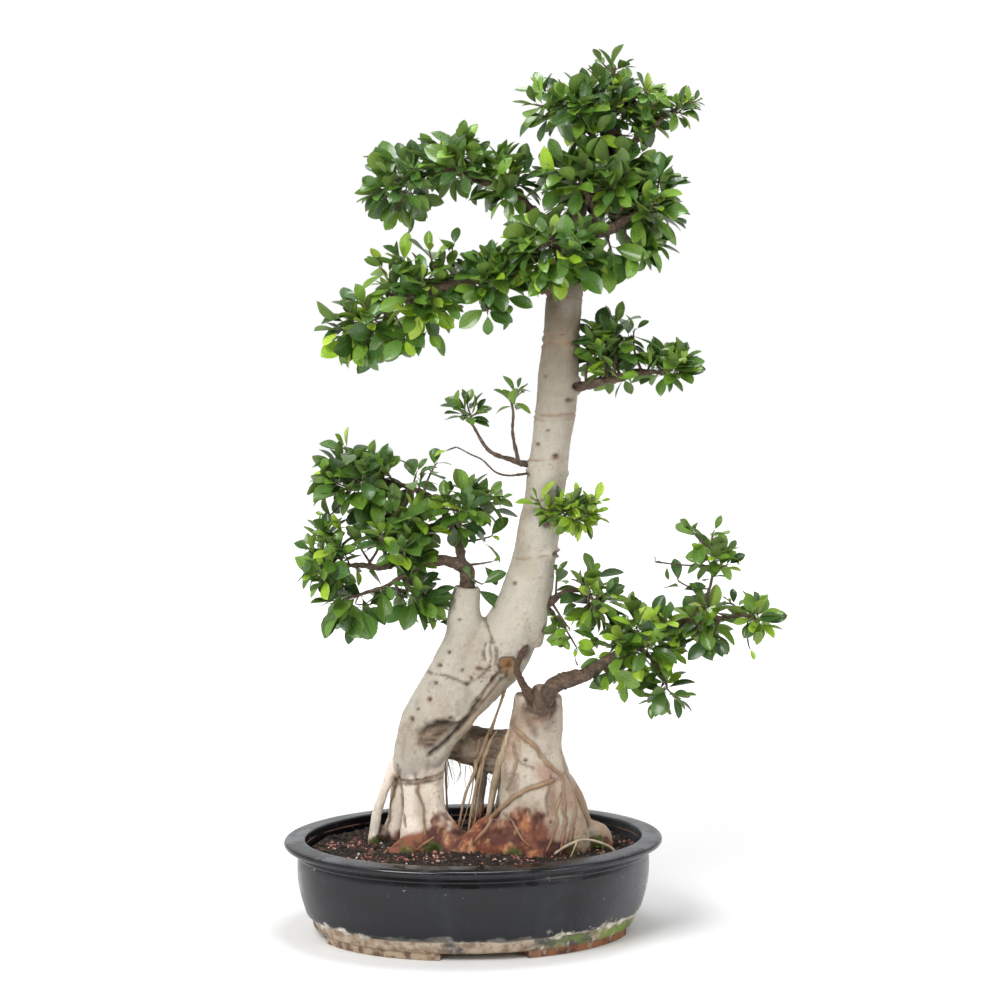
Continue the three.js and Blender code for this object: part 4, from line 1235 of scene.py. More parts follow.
# Clasping roots on the front and the back: (along, height) points, radius, which side.
CLASPING = [
    ([(50, 314), (68, 300), (89, 283), (104, 262), (118, 247), (129, 236), (131, 222)], 3.4, 1),
    ([(131, 226), (130, 206), (133, 184), (131, 160), (129, 140), (126, 124)], 2.8, 1),
    ([(126, 234), (106, 231), (83, 223), (66, 214), (52, 204), (34, 186), (14, 158), (-2, 140)], 3.4, 1),
    ([(38, 190), (48, 176), (56, 162), (66, 146), (70, 130)], 2.8, 1),
    ([(44, 186), (60, 170), (72, 152), (84, 140)], 1.9, 1),
    ([(127, 214), (120, 190), (118, 168), (112, 148), (104, 132)], 2.2, 1),
    ([(134, 240), (146, 230), (154, 212), (158, 190), (166, 164), (168, 138)], 3.2, 1),
    ([(146, 216), (150, 196), (146, 172), (142, 150), (140, 128)], 2.0, 1),
    ([(58, 286), (62, 262), (58, 240), (50, 222)], 1.6, 1),
    ([(110, 240), (112, 224), (106, 204), (108, 186)], 1.3, 1),
    ([(-110, 228), (-98, 225), (-86, 226), (-70, 229), (-56, 233), (-44, 240)], 1.2, 1),
    ([(-86, 240), (-84, 222), (-79, 202), (-74, 182), (-70, 160), (-72, 146)], 2.1, 1),
    ([(-58, 150), (-72, 140), (-84, 132), (-96, 126)], 2.0, 1),
    ([(-108, 246), (-116, 214), (-124, 176), (-130, 140)], 1.6, 1),
    ([(62, 264), (74, 256), (88, 252)], 1.1, 1),
    ([(38, 206), (28, 188), (12, 164), (2, 150), (-8, 140)], 1.8, 1),
    ([(56, 300), (84, 282), (104, 256), (112, 226), (98, 196), (76, 176)], 3.6, -1),
    ([(132, 262), (126, 232), (112, 204), (104, 170), (96, 132)], 3.2, -1),
    ([(62, 268), (58, 232), (52, 196), (46, 160), (40, 130)], 3.0, -1),
    ([(112, 222), (134, 204), (150, 176), (156, 140)], 2.6, -1),
    ([(20, 410), (0, 376), (-30, 336), (-56, 300), (-76, 258), (-92, 222)], 4.0, -1),
    ([(30, 386), (-8, 350), (-20, 318), (-48, 286), (-70, 262)], 2.4, -1),
]


def on_wood(x, z, side, sink):
    """The place on the trunk's skin seen from the front (side 1) or the back (side -1)."""
    start, aim = planted(x, -400 * side, z), planted(0, side, 0) - planted(0, 0, 0)
    hit, point, normal, _ = trunk.ray_cast(start, aim.normalized())
    if not hit:
        return None
    place = tree_places(np.array([point - normal * sink * MM]))[0]
    return tuple(place)


def laid(stations):
    """Stations with no depth given (None) are laid on the wood in front."""
    done = []
    for x, y, z, radius in stations:
        place = on_wood(x, z, 1, radius * 0.2) if y is None else (x, y, z)
        done.append((*(place or (x, -14, z)), radius))
    return done


def clasping_tubes():
    tubes = []
    for i, (line, radius, side) in enumerate(CLASPING):
        guide = smooth_path([(x, 0, z, radius) for x, z in line], 5)
        stations = []
        for k, (x, _, z, _) in enumerate(guide):
            wave = 3.4 * noise.noise(Vector((x, z, i * 9)) / 13)
            taper = min(1.0, 0.35 + 0.22 * k, 0.45 + 0.16 * (len(guide) - 1 - k))
            size = taper * radius * (1 + 0.5 * noise.noise(Vector((i * 5, 0, z)) / 10))
            place = on_wood(x + wave, z, side, radius * (0.3 + 0.5 * (1 - taper)))
            if place is not None and (not stations or abs(place[1] - stations[-1][1]) < 18):
                stations.append((*place, size))
        if len(stations) > 3:
            last = stations[-1]
            stations.append((last[0], last[1] + side * radius, last[2] - 2, radius * 0.6))
            tubes.append(tube(stations, sides=9, step=4, wobble=0.22, seed=i * 1.3))
    return tubes


def hair_roots(rng, count=26):
    """Fine roots from the underside of the bridge and the wood round it."""
    tubes = []
    for _ in range(count):
        x, y = rng.uniform(-40, 60), rng.uniform(-12, 34)
        z = rng.uniform(232, 262)
        length = rng.uniform(10, 46)
        stations = [(x, y, z + 8, 0.7)]
        for k in range(1, 4):
            sway = rng.uniform(-5, 5), rng.uniform(-5, 5)
            stations.append((x + sway[0], y + sway[1], z - length * k / 3, 0.55 - 0.1 * k))
        tubes.append(tube(stations, sides=4, step=7))
    return tubes


def root_tone(piece, base, seed, rust=1.0):
    """Paints a root; rust is how much of the red-brown it takes on near the soil."""
    places = tree_places(mesh_points(piece))
    change = noise_at(places, 14, seed) + 0.5 * noise_at(places, 5, seed + 7)
    low = rust * ramp(places[:, 2], 185, 135)[:, None]
    colour = np.array(base) * (1 - low) + np.array((0.33, 0.14, 0.075)) * low
    paint(piece, "bark_tone", np.clip(colour * (1 + 0.32 * change)[:, None], 0, 1))


def shade_and_dirt_near(piece, neighbour, reach, depth):
    """Darkens the wood next to another piece: a painted contact shadow, with the dirt that gathers in the
    corner.
    """
    tree = tree_of(mesh_points(neighbour))
    gaps = np.array([tree.find(p)[2] for p in mesh_points(piece)]) / MM
    layer = piece.data.color_attributes["bark_tone"]
    tones = np.empty(len(gaps) * 4)
    layer.data.foreach_get("color", tones)
    tones = tones.reshape(-1, 4)
    tones[:, :3] *= (1 - depth * ramp(gaps, reach, 0.6))[:, None]
    layer.data.foreach_set("color", tones.ravel())


print(len(FREE_ROOTS), "free and", len(CLASPING), "clasping roots drawn")

# %% Bark for roots and branches


def twig_finish():
    """Rough brown bark: dark cracks across it and pale flakes."""
    f = Finish("rough_twig_bark")
    tone = f.attribute("bark_tone")
    coarse, fine = f.noise(190, 6, 0.7), f.noise(720, 5, 0.65)
    flakes = f.between(f.noise(1.0, 5, 0.7, f.stretched(330, 330, 520)), 0.5, 0.64)
    cracks = f.between(f.cells(330, place=f.stretched(1, 1, 1.8), feature="DISTANCE_TO_EDGE"), 0.055, 0.0)
    colour = f.mix(f.between(coarse, 0.35, 0.65), f.scaled(tone, 0.42), f.scaled(tone, 1.25))
    colour = f.mix(f.times(flakes, 0.55), colour, (0.33, 0.25, 0.175))
    colour = f.mix(f.times(cracks, 0.65), colour, (0.045, 0.027, 0.018))
    relief = f.math("MULTIPLY_ADD", fine, 0.5, f.minus(coarse, f.times(cracks, 0.7)))
    relief = f.plus(relief, f.times(flakes, 0.35))
    return f.set(Base_Color=colour, Roughness=f.between(fine, 0.3, 0.7, 0.7, 0.92),
                 Normal=f.bump(relief, 0.0035, 1.0))


root_bark = bark_finish("root_bark", 0.7, 0.8)
branch_bark = twig_finish()
print(root_bark.name, "and", branch_bark.name)

# %% Roots in their bark
ROOT_TONES = {"root_climbing": (0.165, 0.088, 0.054), "root_surface": (0.5, 0.41, 0.29),
              "root_tan": (0.44, 0.34, 0.22)}
for name, limbs in FREE_ROOTS.items():
    tubes = []
    for i, limb in enumerate(limbs):
        tubes.append(tube(laid(limb), sides=12, step=3.5, wobble=0.34, seed=i + len(name)))
    bark_kind = branch_bark if name == "root_climbing" else root_bark
    piece = mesh_piece(name + "_bark", *joined_tubes(tubes), [bark_kind])
    tone = ROOT_TONES.get(name, (0.34, 0.24, 0.145))
    root_tone(piece, tone, len(name), 0.0 if name == "root_surface" else 1.0)
    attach(piece, "root")
    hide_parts(name)

clasping = mesh_piece("clasping_roots", *joined_tubes(clasping_tubes()), [root_bark])
root_tone(clasping, (0.33, 0.215, 0.125), 3)
# The trunk next to the clasping roots is darkened: painted contact shadow with dirt.
shade_and_dirt_near(trunk, clasping, 3.0, 0.5)
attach(clasping, "root")
hairs = mesh_piece("hair_roots", *joined_tubes(hair_roots(random.Random(5))), [root_bark])
root_tone(hairs, (0.34, 0.22, 0.13), 4)
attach(hairs, "root")
print(len(FREE_ROOTS), "free roots,", len(clasping.data.polygons), "faces of clasping roots")

# %% [markdown]
# ## Where the shoots stand
# Leaves of this fig grow in a rosette at the end of each twig. So each packed tuft is filled
# with shoot tips first, spread out like a grower would thin them, and a twig runs to every tip
# from the nearest wood. Scattering single leaves would be easier, but they would float.

# %% Shoots
BRANCHES = {
    "branch_leader": [
        [(145, 2, 1060, 11), (168, 0, 1105, 9), (194, 0, 1150, 8), (199, -4, 1210, 5), (200, 0, 1262, 2)],
        [(192, 0, 1140, 5), (164, -8, 1172, 3.6), (132, -12, 1206, 1.8)],
        [(199, -4, 1190, 4.5), (222, -12, 1214, 3), (240, -4, 1234, 1.6)]],
    "branch_crown_right": [
        [(196, 0, 1140, 6), (232, -8, 1158, 5), (262, -2, 1182, 4), (288, 0, 1203, 1.8)]],
    "branch_crown_low_right": [
        [(140, 0, 1015, 12), (190, -25, 1030, 8), (235, -30, 1052, 5), (262, -20, 1066, 2)],
        [(176, -16, 1026, 5), (170, -34, 1064, 4), (150, -40, 1112, 2)],
        [(206, -26, 1038, 4), (214, -34, 1082, 3), (204, -30, 1122, 1.6)]],
    "branch_crown_front": [
        [(140, 0, 985, 12), (128, -38, 1002, 8), (112, -66, 1012, 5), (96, -84, 1004, 2)]],
    "branch_crown_back": [
        [(148, 0, 1045, 11), (160, 46, 1066, 7), (176, 84, 1078, 4), (190, 104, 1080, 2)]],
    "branch_upper_left": [
        [(140, 0, 1000, 13), (94, -16, 1050, 9), (32, -22, 1092, 7), (-38, -12, 1116, 5),
         (-112, 2, 1100, 2)]],
    "branch_middle_left": [
        [(131, 0, 940, 14), (84, -18, 958, 10), (12, -26, 960, 8), (-68, -20, 942, 6),
         (-158, -4, 900, 2)]],
    "branch_right": [
        [(121, 0, 808, 13), (156, -6, 806, 8), (204, -12, 816, 6), (252, -8, 826, 4),
         (300, 0, 818, 1.8)]],
    "branch_left_twig": [
        [(104, 0, 690, 6), (62, -16, 696, 4), (24, -18, 712, 2.8), (-6, -12, 756, 1.6)],
        [(66, -16, 694, 3.2), (58, -20, 730, 2.4), (56, -16, 786, 1.4)],
        [(100, -6, 690, 3), (72, -14, 677, 1.9), (38, -17, 679, 1.5), (12, -14, 698, 1.2),
         (-26, -12, 716, 0.9)]],
    "branch_front_shoot": [
        [(100, 0, 604, 7), (106, -38, 610, 4.5), (116, -56, 620, 3), (140, -64, 632, 1.6)]],
    "branch_low_left": [
        [(-8, 0, 500, 12), (-14, -6, 538, 10), (-44, -12, 550, 8), (-98, -16, 546, 6),
         (-156, -10, 542, 4), (-216, -4, 548, 2)],
        [(-18, -6, 540, 8), (-26, 6, 586, 6), (-60, 4, 640, 5), (-120, 0, 664, 3), (-178, 4, 668, 1.8)],
        [(-70, -16, 548, 4.5), (-108, -24, 526, 3.4), (-150, -18, 506, 2.6), (-192, -8, 494, 1.6)],
        [(-34, -8, 600, 4), (-16, -16, 626, 2.6), (6, -14, 650, 1.4)]],
    "branch_low_right": [
        [(97, -18, 338, 12), (104, -32, 352, 12.5), (120, -42, 370, 11.5), (150, -40, 384, 11),
         (190, -24, 400, 8.5), (246, -8, 436, 6.5), (330, 0, 462, 4), (412, 4, 468, 1.8)],
        [(320, 0, 459, 3.6), (344, 2, 500, 2.6), (354, 2, 560, 1.4)],
        [(232, -10, 431, 4), (262, -4, 404, 2.8), (280, 2, 374, 1.6)]],
    "branch_trunk_right": [
        [(92, 0, 470, 8), (120, -8, 496, 5), (146, -10, 508, 3.4), (170, -4, 500, 1.8)]],
    "branch_behind_stump": [
        [(-12, 6, 436, 10), (-26, 46, 446, 5), (-44, 54, 454, 3), (-56, 52, 462, 1.6)]],
}
# Tuft, the branch that feeds it, how many leaves are young, how full it is, how large its leaves.
TUFT_ROWS = [
    ("apex", "leader", 0.15, 0.8, 0.85),
    ("crown_top", "leader", 0.12, 1.5, 0.95),
    ("crown_top_right", "leader", 0.15, 0.9, 0.85),
    ("crown_right_tip", "crown_right", 0.45, 1.5, 0.62),
    ("crown_middle", "crown_low_right", 0.12, 1.5, 1.02),
    ("crown_back", "crown_back", 0.08, 1.2, 1.0),
    ("crown_low", "crown_front", 0.16, 1.5, 0.98),
    ("crown_low_right", "crown_low_right", 0.08, 1.4, 1.08),
    ("upper_left_tip", "upper_left", 0.08, 1.5, 0.98),
    ("upper_left_middle", "upper_left", 0.08, 1.4, 1.0),
    ("upper_left_inner", "upper_left", 0.1, 1.4, 1.0),
    ("middle_left_tip", "middle_left", 0.38, 1.6, 0.9),
    ("middle_left_middle", "middle_left", 0.25, 1.6, 0.95),
    ("middle_left_inner", "middle_left", 0.15, 1.5, 1.0),
    ("right_inner", "right", 0.08, 1.5, 0.92),
    ("right_tip", "right", 0.12, 1.6, 0.88),
    ("left_twig", "left_twig", 0.15, 0.9, 0.75),
    ("left_twig_upper", "left_twig", 0.15, 0.5, 0.72),
    ("front_shoot", "front_shoot", 0.68, 2.6, 0.66),
    ("low_left_top", "low_left", 0.08, 1.5, 0.95),
    ("low_left_outer", "low_left", 0.35, 1.6, 0.78),
    ("low_left_middle", "low_left", 0.2, 1.5, 0.95),
    ("low_left_inner", "low_left", 0.2, 1.1, 0.85),
    ("low_left_bottom", "low_left", 0.05, 0.45, 1.15),
    ("low_left_bottom_inner", "low_left", 0.06, 0.9, 1.1),
    ("low_right_inner", "trunk_right", 0.35, 1.3, 0.85),
    ("low_right_middle", "low_right", 0.35, 1.4, 0.92),
    ("low_right_outer", "low_right", 0.2, 1.2, 0.9),
    ("low_right_top", "low_right", 0.3, 0.9, 0.78),
    ("low_right_tip", "low_right", 0.3, 1.0, 0.85),
    ("low_right_bottom", "low_right", 0.2, 0.8, 0.92),
    ("behind_stump", "behind_stump", 0.55, 1.0, 0.5),
]
TUFTS = {"leaves_" + tuft: ("branch_" + branch, *rest) for tuft, branch, *rest in TUFT_ROWS}
LEAF_REACH = 0.022
BARE = ("branch_left_twig", "branch_behind_stump")  # no shoots along the branch itself
USUAL_TUFT = 0.0185  # a tuft of this half width gets one shoot or so
# Shoots that stand out of the tufts: where the tip is, which way it points (down when it
# hangs), how many leaves it has and how long they are.
LONE_SHOOTS = {
    "leaves_crown_top": [
        ((92, -8, 1208), (-0.8, -0.3, 0.3), 7, 44), ((104, -20, 1190), (-0.6, -0.5, -0.2), 6, 42),
        ((98, 0, 1228), (-0.6, 0.0, 0.7), 6, 40)],
    "leaves_crown_low_right": [
        ((198, -34, 1000), (0.2, -0.5, -0.6), 7, 50), ((232, -28, 1002), (0.6, -0.3, -0.3), 7, 50),
        ((256, -16, 1012), (0.8, -0.2, -0.3), 6, 48), ((188, -34, 978), (0.1, -0.3, -0.9), 3, 52),
        ((160, -46, 985), (0.0, -0.6, -0.6), 6, 48)],
    "leaves_crown_low": [
        ((122, -62, 968), (0.0, -0.6, -0.6), 7, 50), ((146, -54, 978), (0.3, -0.6, -0.6), 6, 50),
        ((92, -62, 972), (-0.3, -0.6, -0.5), 7, 48), ((66, -46, 985), (-0.5, -0.4, -0.5), 6, 46)],
    "leaves_middle_left_middle": [
        ((-30, -12, 1004), (0.5, -0.2, 0.8), 3, 50), ((-62, -10, 994), (-0.2, -0.3, 0.8), 6, 46),
        ((-104, -4, 986), (-0.5, -0.2, 0.6), 7, 46), ((-132, 0, 974), (-0.7, -0.2, 0.5), 6, 44),
        ((-100, -8, 874), (0.0, -0.4, -0.9), 6, 48), ((-66, -12, 886), (0.1, -0.4, -0.9), 4, 50)],
    "leaves_middle_left_tip": [
        ((-176, -2, 864), (-0.2, -0.2, -0.9), 6, 50), ((-142, -6, 868), (0.0, -0.4, -0.9), 6, 50),
        ((-196, 0, 884), (-0.6, -0.2, -0.6), 5, 44)],
    "leaves_middle_left_inner": [
        ((20, -22, 914), (0.2, -0.4, -0.9), 5, 48), ((48, -24, 928), (0.3, -0.4, -0.7), 4, 44)],
    "leaves_right_inner": [
        ((178, -10, 882), (-0.3, -0.3, 0.7), 6, 44), ((206, -12, 892), (0.1, -0.3, 0.9), 7, 46),
        ((232, -10, 884), (0.5, -0.2, 0.6), 5, 42)],
    "leaves_low_left_top": [
        ((-84, -4, 676), (0.3, -0.3, 0.8), 6, 40), ((-56, -6, 690), (0.5, -0.2, 0.6), 4, 34),
        ((-218, 0, 672), (-0.8, -0.2, 0.4), 3, 46), ((-186, 4, 712), (-0.3, -0.2, 0.9), 6, 50)],
    "leaves_low_left_outer": [
        ((-212, -6, 615), (-0.7, -0.3, 0.2), 5, 36), ((-200, -14, 590), (-0.6, -0.5, -0.1), 6, 36)],
    "leaves_low_left_inner": [
        ((24, -10, 586), (0.5, -0.4, 0.4), 4, 38), ((34, -8, 636), (0.6, -0.2, 0.6), 4, 38),
        ((24, -4, 548), (0.5, -0.5, 0.2), 2, 36), ((12, -6, 516), (0.5, -0.5, 0.3), 4, 44)],
    "leaves_low_left_bottom": [
        ((-187, -12, 490), (-0.35, -0.4, -0.75), 6, 58), ((-176, -6, 500), (-0.8, -0.1, 0.2), 3, 50)],
    "leaves_front_shoot": [
        ((94, -44, 640), (-0.3, -0.5, 0.8), 6, 40), ((178, -50, 640), (0.8, -0.2, 0.3), 3, 32),
        ((150, -56, 648), (0.3, -0.3, 0.8), 4, 26)],
    "leaves_low_right_inner": [
        ((127, -12, 440), (-0.3, -0.4, -0.5), 4, 32), ((150, -16, 424), (0.1, -0.4, -0.8), 4, 36),
        ((172, -16, 436), (0.4, -0.4, -0.4), 4, 34), ((119, -6, 468), (-0.4, -0.5, 0.1), 4, 30),
        ((140, -20, 452), (0.0, -0.6, 0.2), 4, 34)],
    "leaves_low_right_middle": [
        ((196, -16, 386), (-0.2, -0.4, -0.7), 6, 44), ((220, -14, 378), (0.1, -0.4, -0.8), 6, 46),
        ((176, -18, 406), (-0.5, -0.4, -0.4), 5, 38)],
    "leaves_low_right_top": [
        ((322, 0, 590), (-0.5, -0.3, 0.7), 4, 44), ((350, 0, 590), (0.5, -0.2, 0.8), 4, 42),
        ((270, -4, 548), (-0.8, -0.2, 0.4), 3, 20), ((300, -4, 520), (-0.2, -0.3, 0.8), 4, 34)],
    "leaves_low_right_tip": [
        ((404, 0, 424), (0.5, -0.1, -0.9), 1, 36)],
    "leaves_left_twig": [
        ((-34, -12, 714), (-0.9, -0.2, -0.35), 1, 46)],
}


def branch_rings(name):
    """Points along a branch in the frame, in metres, past its thick root end, with radii."""
    rings = []
    for limb in BRANCHES[name]:
        path = smooth_path(limb, 8)
        rings += [(planted(*ring[:3]), ring[3]) for ring in path[len(path) // 5:]]
    return rings


def spread_tips(rng, centre, half, count):
    """Tips inside the tuft, each the farthest from the others of a handful of tries."""
    room = Vector([max(0.3 * h, h - LEAF_REACH) for h in half])
    tips = []
    for _ in range(count):
        tries = []
        for _ in range(14):
            way = Vector([rng.gauss(0, 1) for _ in range(3)]).normalized()
            share = (0.18 + 0.82 * rng.random()) ** 0.45
            tries.append(centre + Vector([w * r * share for w, r in zip(way, room)]))
        tips.append(max(tries, key=lambda p: min([(p - q).length for q in tips] or [1.0])))
    return tips


def plan_shoots():
    """For each tuft, shoots of (start, middle, tip, direction, leaves, leaf length), the last
    two 0 where the tuft decides; for each branch, its twigs."""
    shoots, twigs = {}, {name: [] for name in BRANCHES}
    for index, (tuft, (branch, _, fullness, _)) in enumerate(TUFTS.items()):
        rng = random.Random(40 + index)
        low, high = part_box(tuft)
        centre, half = (low + high) / 2, (high - low) / 2
        bulk = (half.x * half.y * half.z) ** (1 / 3)
        count = max(2, round(1.22 * fullness * (bulk / USUAL_TUFT) ** 1.75))
        rings = branch_rings(branch)
        shoots[tuft] = []
        for tip in spread_tips(rng, centre, half, count):
            start, size = min(rings, key=lambda ring: (ring[0] - tip).length + 0.035 * rng.random())
            outward = (tip - centre).normalized() * 0.55
            way = (tip - start).normalized() * 0.6 + outward + Vector((0, 0, 0.55))
            way.normalize()
            sway = Vector([rng.uniform(-0.006, 0.006) for _ in range(3)])
            knee = start.lerp(tip, 0.55) + sway - way * 0.008
            shoots[tuft].append((start, knee, tip, way, 0, 0.0))
            twigs[branch].append((start, knee, tip, way, size))
        for place, heading, leaves, length in LONE_SHOOTS.get(tuft, []):
            tip, way = planted(*place), (planted(*heading) - planted(0, 0, 0)).normalized()
            start, size = min(rings, key=lambda ring: (ring[0] - tip).length)
            knee = start.lerp(tip, 0.6) - way * 0.006
            shoots[tuft].append((start, knee, tip, way, leaves, length * MM))
            twigs[branch].append((start, knee, tip, way, size))
    rng = random.Random(39)
    for branch, limbs in BRANCHES.items():
        fed = [tuft for tuft, use in TUFTS.items() if use[0] == branch]
        if branch in BARE or not fed:
            continue
        for limb in limbs:
            path = smooth_path(limb, 8)
            for x, y, z, size in path[int(len(path) * 0.42)::4]:
                start = planted(x, y, z)
                tuft = min(fed, key=lambda name: (sum(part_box(name), Vector()) / 2 - start).length)
                way = Vector((rng.gauss(0, 1), rng.gauss(0, 1), rng.gauss(0.4, 0.8))).normalized()
                tip = start + way * rng.uniform(0.02, 0.04)
                shoots[tuft].append((start, start.lerp(tip, 0.5), tip, way, 0, 0.0))
                twigs[branch].append((start, start.lerp(tip, 0.5), tip, way, size))
    return shoots, twigs


SHOOTS, TWIGS = plan_shoots()
print(sum(len(s) for s in SHOOTS.values()), "shoots planned")

# %% [markdown]
# ## Branches and twigs
# Branch bark is rough and brown, with a knuckle wherever a leaf once stood. So a branch's path
# gets small turns and swellings every couple of centimetres, and the twigs leave it as thinner
# tubes sunk into its side. A skin modifier could grow it all, but loses control of thickness.

# %% Branches
BRANCH_TONE = np.array((0.2, 0.13, 0.086))


def knuckled(limb, rng, spacing=16.0):
    """The limb's path with small turns and swellings, as where old leaves stood."""
    path = smooth_path(limb, 3.0)
    phase, shift = rng.uniform(0, 6), Vector((rng.random(), rng.random(), 0)) * 40
    stations = []
    for i, (x, y, z, radius) in enumerate(path):
        ease = min(1.0, i / 8)
        swell = 1 + 0.2 * max(0.0, math.sin(2 * math.pi * i * 3 / spacing + phase)) ** 4
        turn = noise.noise_vector(Vector((x, y, z)) / 26 + shift) * (1.6 + 0.22 * radius) * ease
        stations.append((x + turn.x, y + turn.y, z + turn.z, radius * (1 + (swell - 1) * ease)))
    return stations


def limb_tube(stations, sides, seed):
    """A tube whose rings are already close together, so no further smoothing is needed."""
    return tube(stations[::2] + [stations[-1]], sides=sides, step=5.0, wobble=0.34, seed=seed)


def twig_tube(start, knee, tip, way, size):
    """A twig from the branch to just past the youngest leaf, drawn in tree places."""
    near, bend, end = [tree_places(np.array([p]))[0] for p in (start, knee, tip)]
    last = tree_places(np.array([tip + way * 0.006]))[0]
    thick = min(2.4, size * 0.6)
    stations = [(*near, thick), (*bend, max(1.1, thick * 0.75)), (*end, 1.15), (*last, 0.6)]
    return tube(stations, sides=6, step=6, wobble=0.3)


for index, (name, limbs) in enumerate(BRANCHES.items()):
    rng = random.Random(70 + index)
    tubes = [limb_tube(knuckled(limb, rng), 14, index + k) for k, limb in enumerate(limbs)]
    tubes += [twig_tube(*twig) for twig in TWIGS[name]]
    piece = mesh_piece(name + "_bark", *joined_tubes(tubes), [branch_bark])
    places = tree_places(mesh_points(piece))
    change = noise_at(places, 12, index) + 0.6 * noise_at(places, 4, index + 9)
    paint(piece, "bark_tone", np.clip(BRANCH_TONE * (1 + 0.6 * change)[:, None], 0.02, 1))
    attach(piece, "root")
    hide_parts(name)
    # The trunk next to each branch is darkened: painted contact shadow with dirt.
    shade_and_dirt_near(trunk, piece, 5.0, 0.7)
print(len(BRANCHES), "branches,", sum(len(t) for t in TWIGS.values()), "twigs")

# %% [markdown]
# ## Leaves
# A leaf is oval, widest past the middle, folded a little along its midrib and arched. It has a
# glossy top, a paler underside and a short stalk. The leaf is modelled once, in four arches,
# and placed many times with its own size and tone, because thousands are needed. Leaves turn
# their upper face to the light, so each is turned about its stalk until it looks upward.

# %% The leaf
# Share of the length, half width as a share of the length.
LEAF_OUTLINE = [(0.0, 0.01), (0.07, 0.066), (0.2, 0.152), (0.38, 0.235), (0.56, 0.272), (0.73, 0.25),
                (0.87, 0.165), (0.95, 0.078), (1.0, 0.006)]
ACROSS = (-1.0, -0.55, 0.0, 0.55, 1.0)
STALK = 0.17


def leaf_shape(arch, fold, twist):
    """Unit leaf along +Y, its top toward +Z: points, faces, (across, along) and part of each face."""
    points, across_along, faces, parts = [], [], [], []

    def place(u, v, half, lift):
        sag = -arch * v * v + 0.1 * v
        bend = fold * half * abs(u) ** 1.3 + twist * u * half * v
        ripple = 0.01 * math.sin(9 * v + 2 * u) * abs(u)
        return (u * half, STALK + v, sag + bend + ripple + lift)

    rows = []
    for v, half in LEAF_OUTLINE:
        top, under = [], []
        for u in ACROSS:
            top.append(len(points))
            points.append(place(u, v, half, 0.0))
            across_along.append((0.5 + u / 2, v))
        for u in ACROSS:
            if abs(u) == 1.0:
                under.append(top[0] if u < 0 else top[-1])
            else:
                under.append(len(points))
                points.append(place(u, v, half, -0.012))
                across_along.append((0.5 + u / 2, v))
        rows.append((top, under))
    for (top, under), (next_top, next_under) in zip(rows, rows[1:]):
        for k in range(len(ACROSS) - 1):
            faces.append((top[k], top[k + 1], next_top[k + 1], next_top[k]))
            parts.append(0)
            faces.append((under[k + 1], under[k], next_under[k], next_under[k + 1]))
            parts.append(1)
    for top, under in (rows[0], rows[-1]):
        loop = (*top, *under[-2:0:-1])
        faces.append(loop[::-1] if top is rows[0][0] else loop)
        parts.append(1)

    ring = []
    for y, z, size in ((-0.02, -0.03, 0.019), (STALK * 0.5, -0.018, 0.013), (STALK + 0.03, -0.006, 0.013)):
        ring.append(len(points))
        for k in range(3):
            angle = math.pi / 2 + 2 * math.pi * k / 3
            points.append((size * math.cos(angle), y, z + size * math.sin(angle)))
            across_along.append((0.5, 0.0))
    for a, b in zip(ring, ring[1:]):
        for k in range(3):
            faces.append((a + k, a + (k + 1) % 3, b + (k + 1) % 3, b + k))
            parts.append(2)
    faces.append((ring[0] + 2, ring[0] + 1, ring[0]))
    faces.append((ring[-1], ring[-1] + 1, ring[-1] + 2))
    parts += [2, 2]
    return np.array(points), faces, np.array(across_along), parts


# Arch, fold along the midrib, twist.
ARCHES = ((0.1, 0.22, 0.0), (0.24, 0.34, 0.12), (0.02, 0.42, -0.15), (0.34, 0.16, -0.08))
LEAF_SHAPES = [leaf_shape(*arch) for arch in ARCHES]


def leaf_finish(name, under=False):
    f = Finish(name)
    tone = f.attribute("leaf_tone")
    uv = f.node("UVMap", 0, {}, uv_map="leaf_map")
    u, v = f.axis("X", uv), f.axis("Y", uv)
    from_rib = f.math("ABSOLUTE", f.minus(u, 0.5))
    rib = f.between(from_rib, 0.036, 0.01)
    slant = f.math("MULTIPLY_ADD", from_rib, -5.5, f.times(v, 9.0))
    veins = f.between(f.math("SINE", f.times(slant, 6.283)), 0.55, 1.0)
    veins = f.times(veins, f.between(from_rib, 0.47, 0.36))
    patches, mottle = f.noise(60, 4), f.noise(420, 4)
    if under:
        base = f.mix(0.42, tone, (0.16, 0.24, 0.04))
        colour = f.mix(f.times(rib, 0.5), base, (0.27, 0.34, 0.08))
        colour = f.mix(f.times(veins, 0.22), colour, (0.26, 0.34, 0.13))
        relief = f.plus(rib, f.times(veins, 0.5))
        return f.set(Base_Color=colour, Roughness=f.between(patches, 0.3, 0.7, 0.48, 0.62),
                     Normal=f.bump(relief, 0.0007, 0.8))
    colour = f.mix(f.between(patches, 0.4, 0.72, 0.0, 0.45), tone, f.scaled(tone, 1.55))
    colour = f.mix(f.between(mottle, 0.45, 0.75, 0.0, 0.25), colour, f.scaled(tone, 0.62))
    colour = f.mix(f.times(veins, 0.2), colour, f.scaled(tone, 2.0))
    pale_rib = f.mix(0.65, f.scaled(tone, 2.2), (0.2, 0.33, 0.07))
    colour = f.mix(f.times(rib, 0.42), colour, pale_rib)
    relief = f.plus(f.times(rib, -0.8), f.times(veins, -0.25))
    relief = f.math("MULTIPLY_ADD", patches, 0.6, relief)
    return f.set(Base_Color=colour, Roughness=f.between(mottle, 0.3, 0.7, 0.24, 0.36),
                 Normal=f.bump(relief, 0.0009, 0.7), Coat_Weight=0.25, Coat_Roughness=0.12)


def stalk_finish():
    f = Finish("leaf_stalk", Roughness=0.5)
    grain = f.noise(300, 4)
    colour = f.mix(grain, (0.16, 0.24, 0.055), (0.28, 0.36, 0.11))
    return f.set(Base_Color=colour, Normal=f.bump(grain, 0.0003, 0.6))


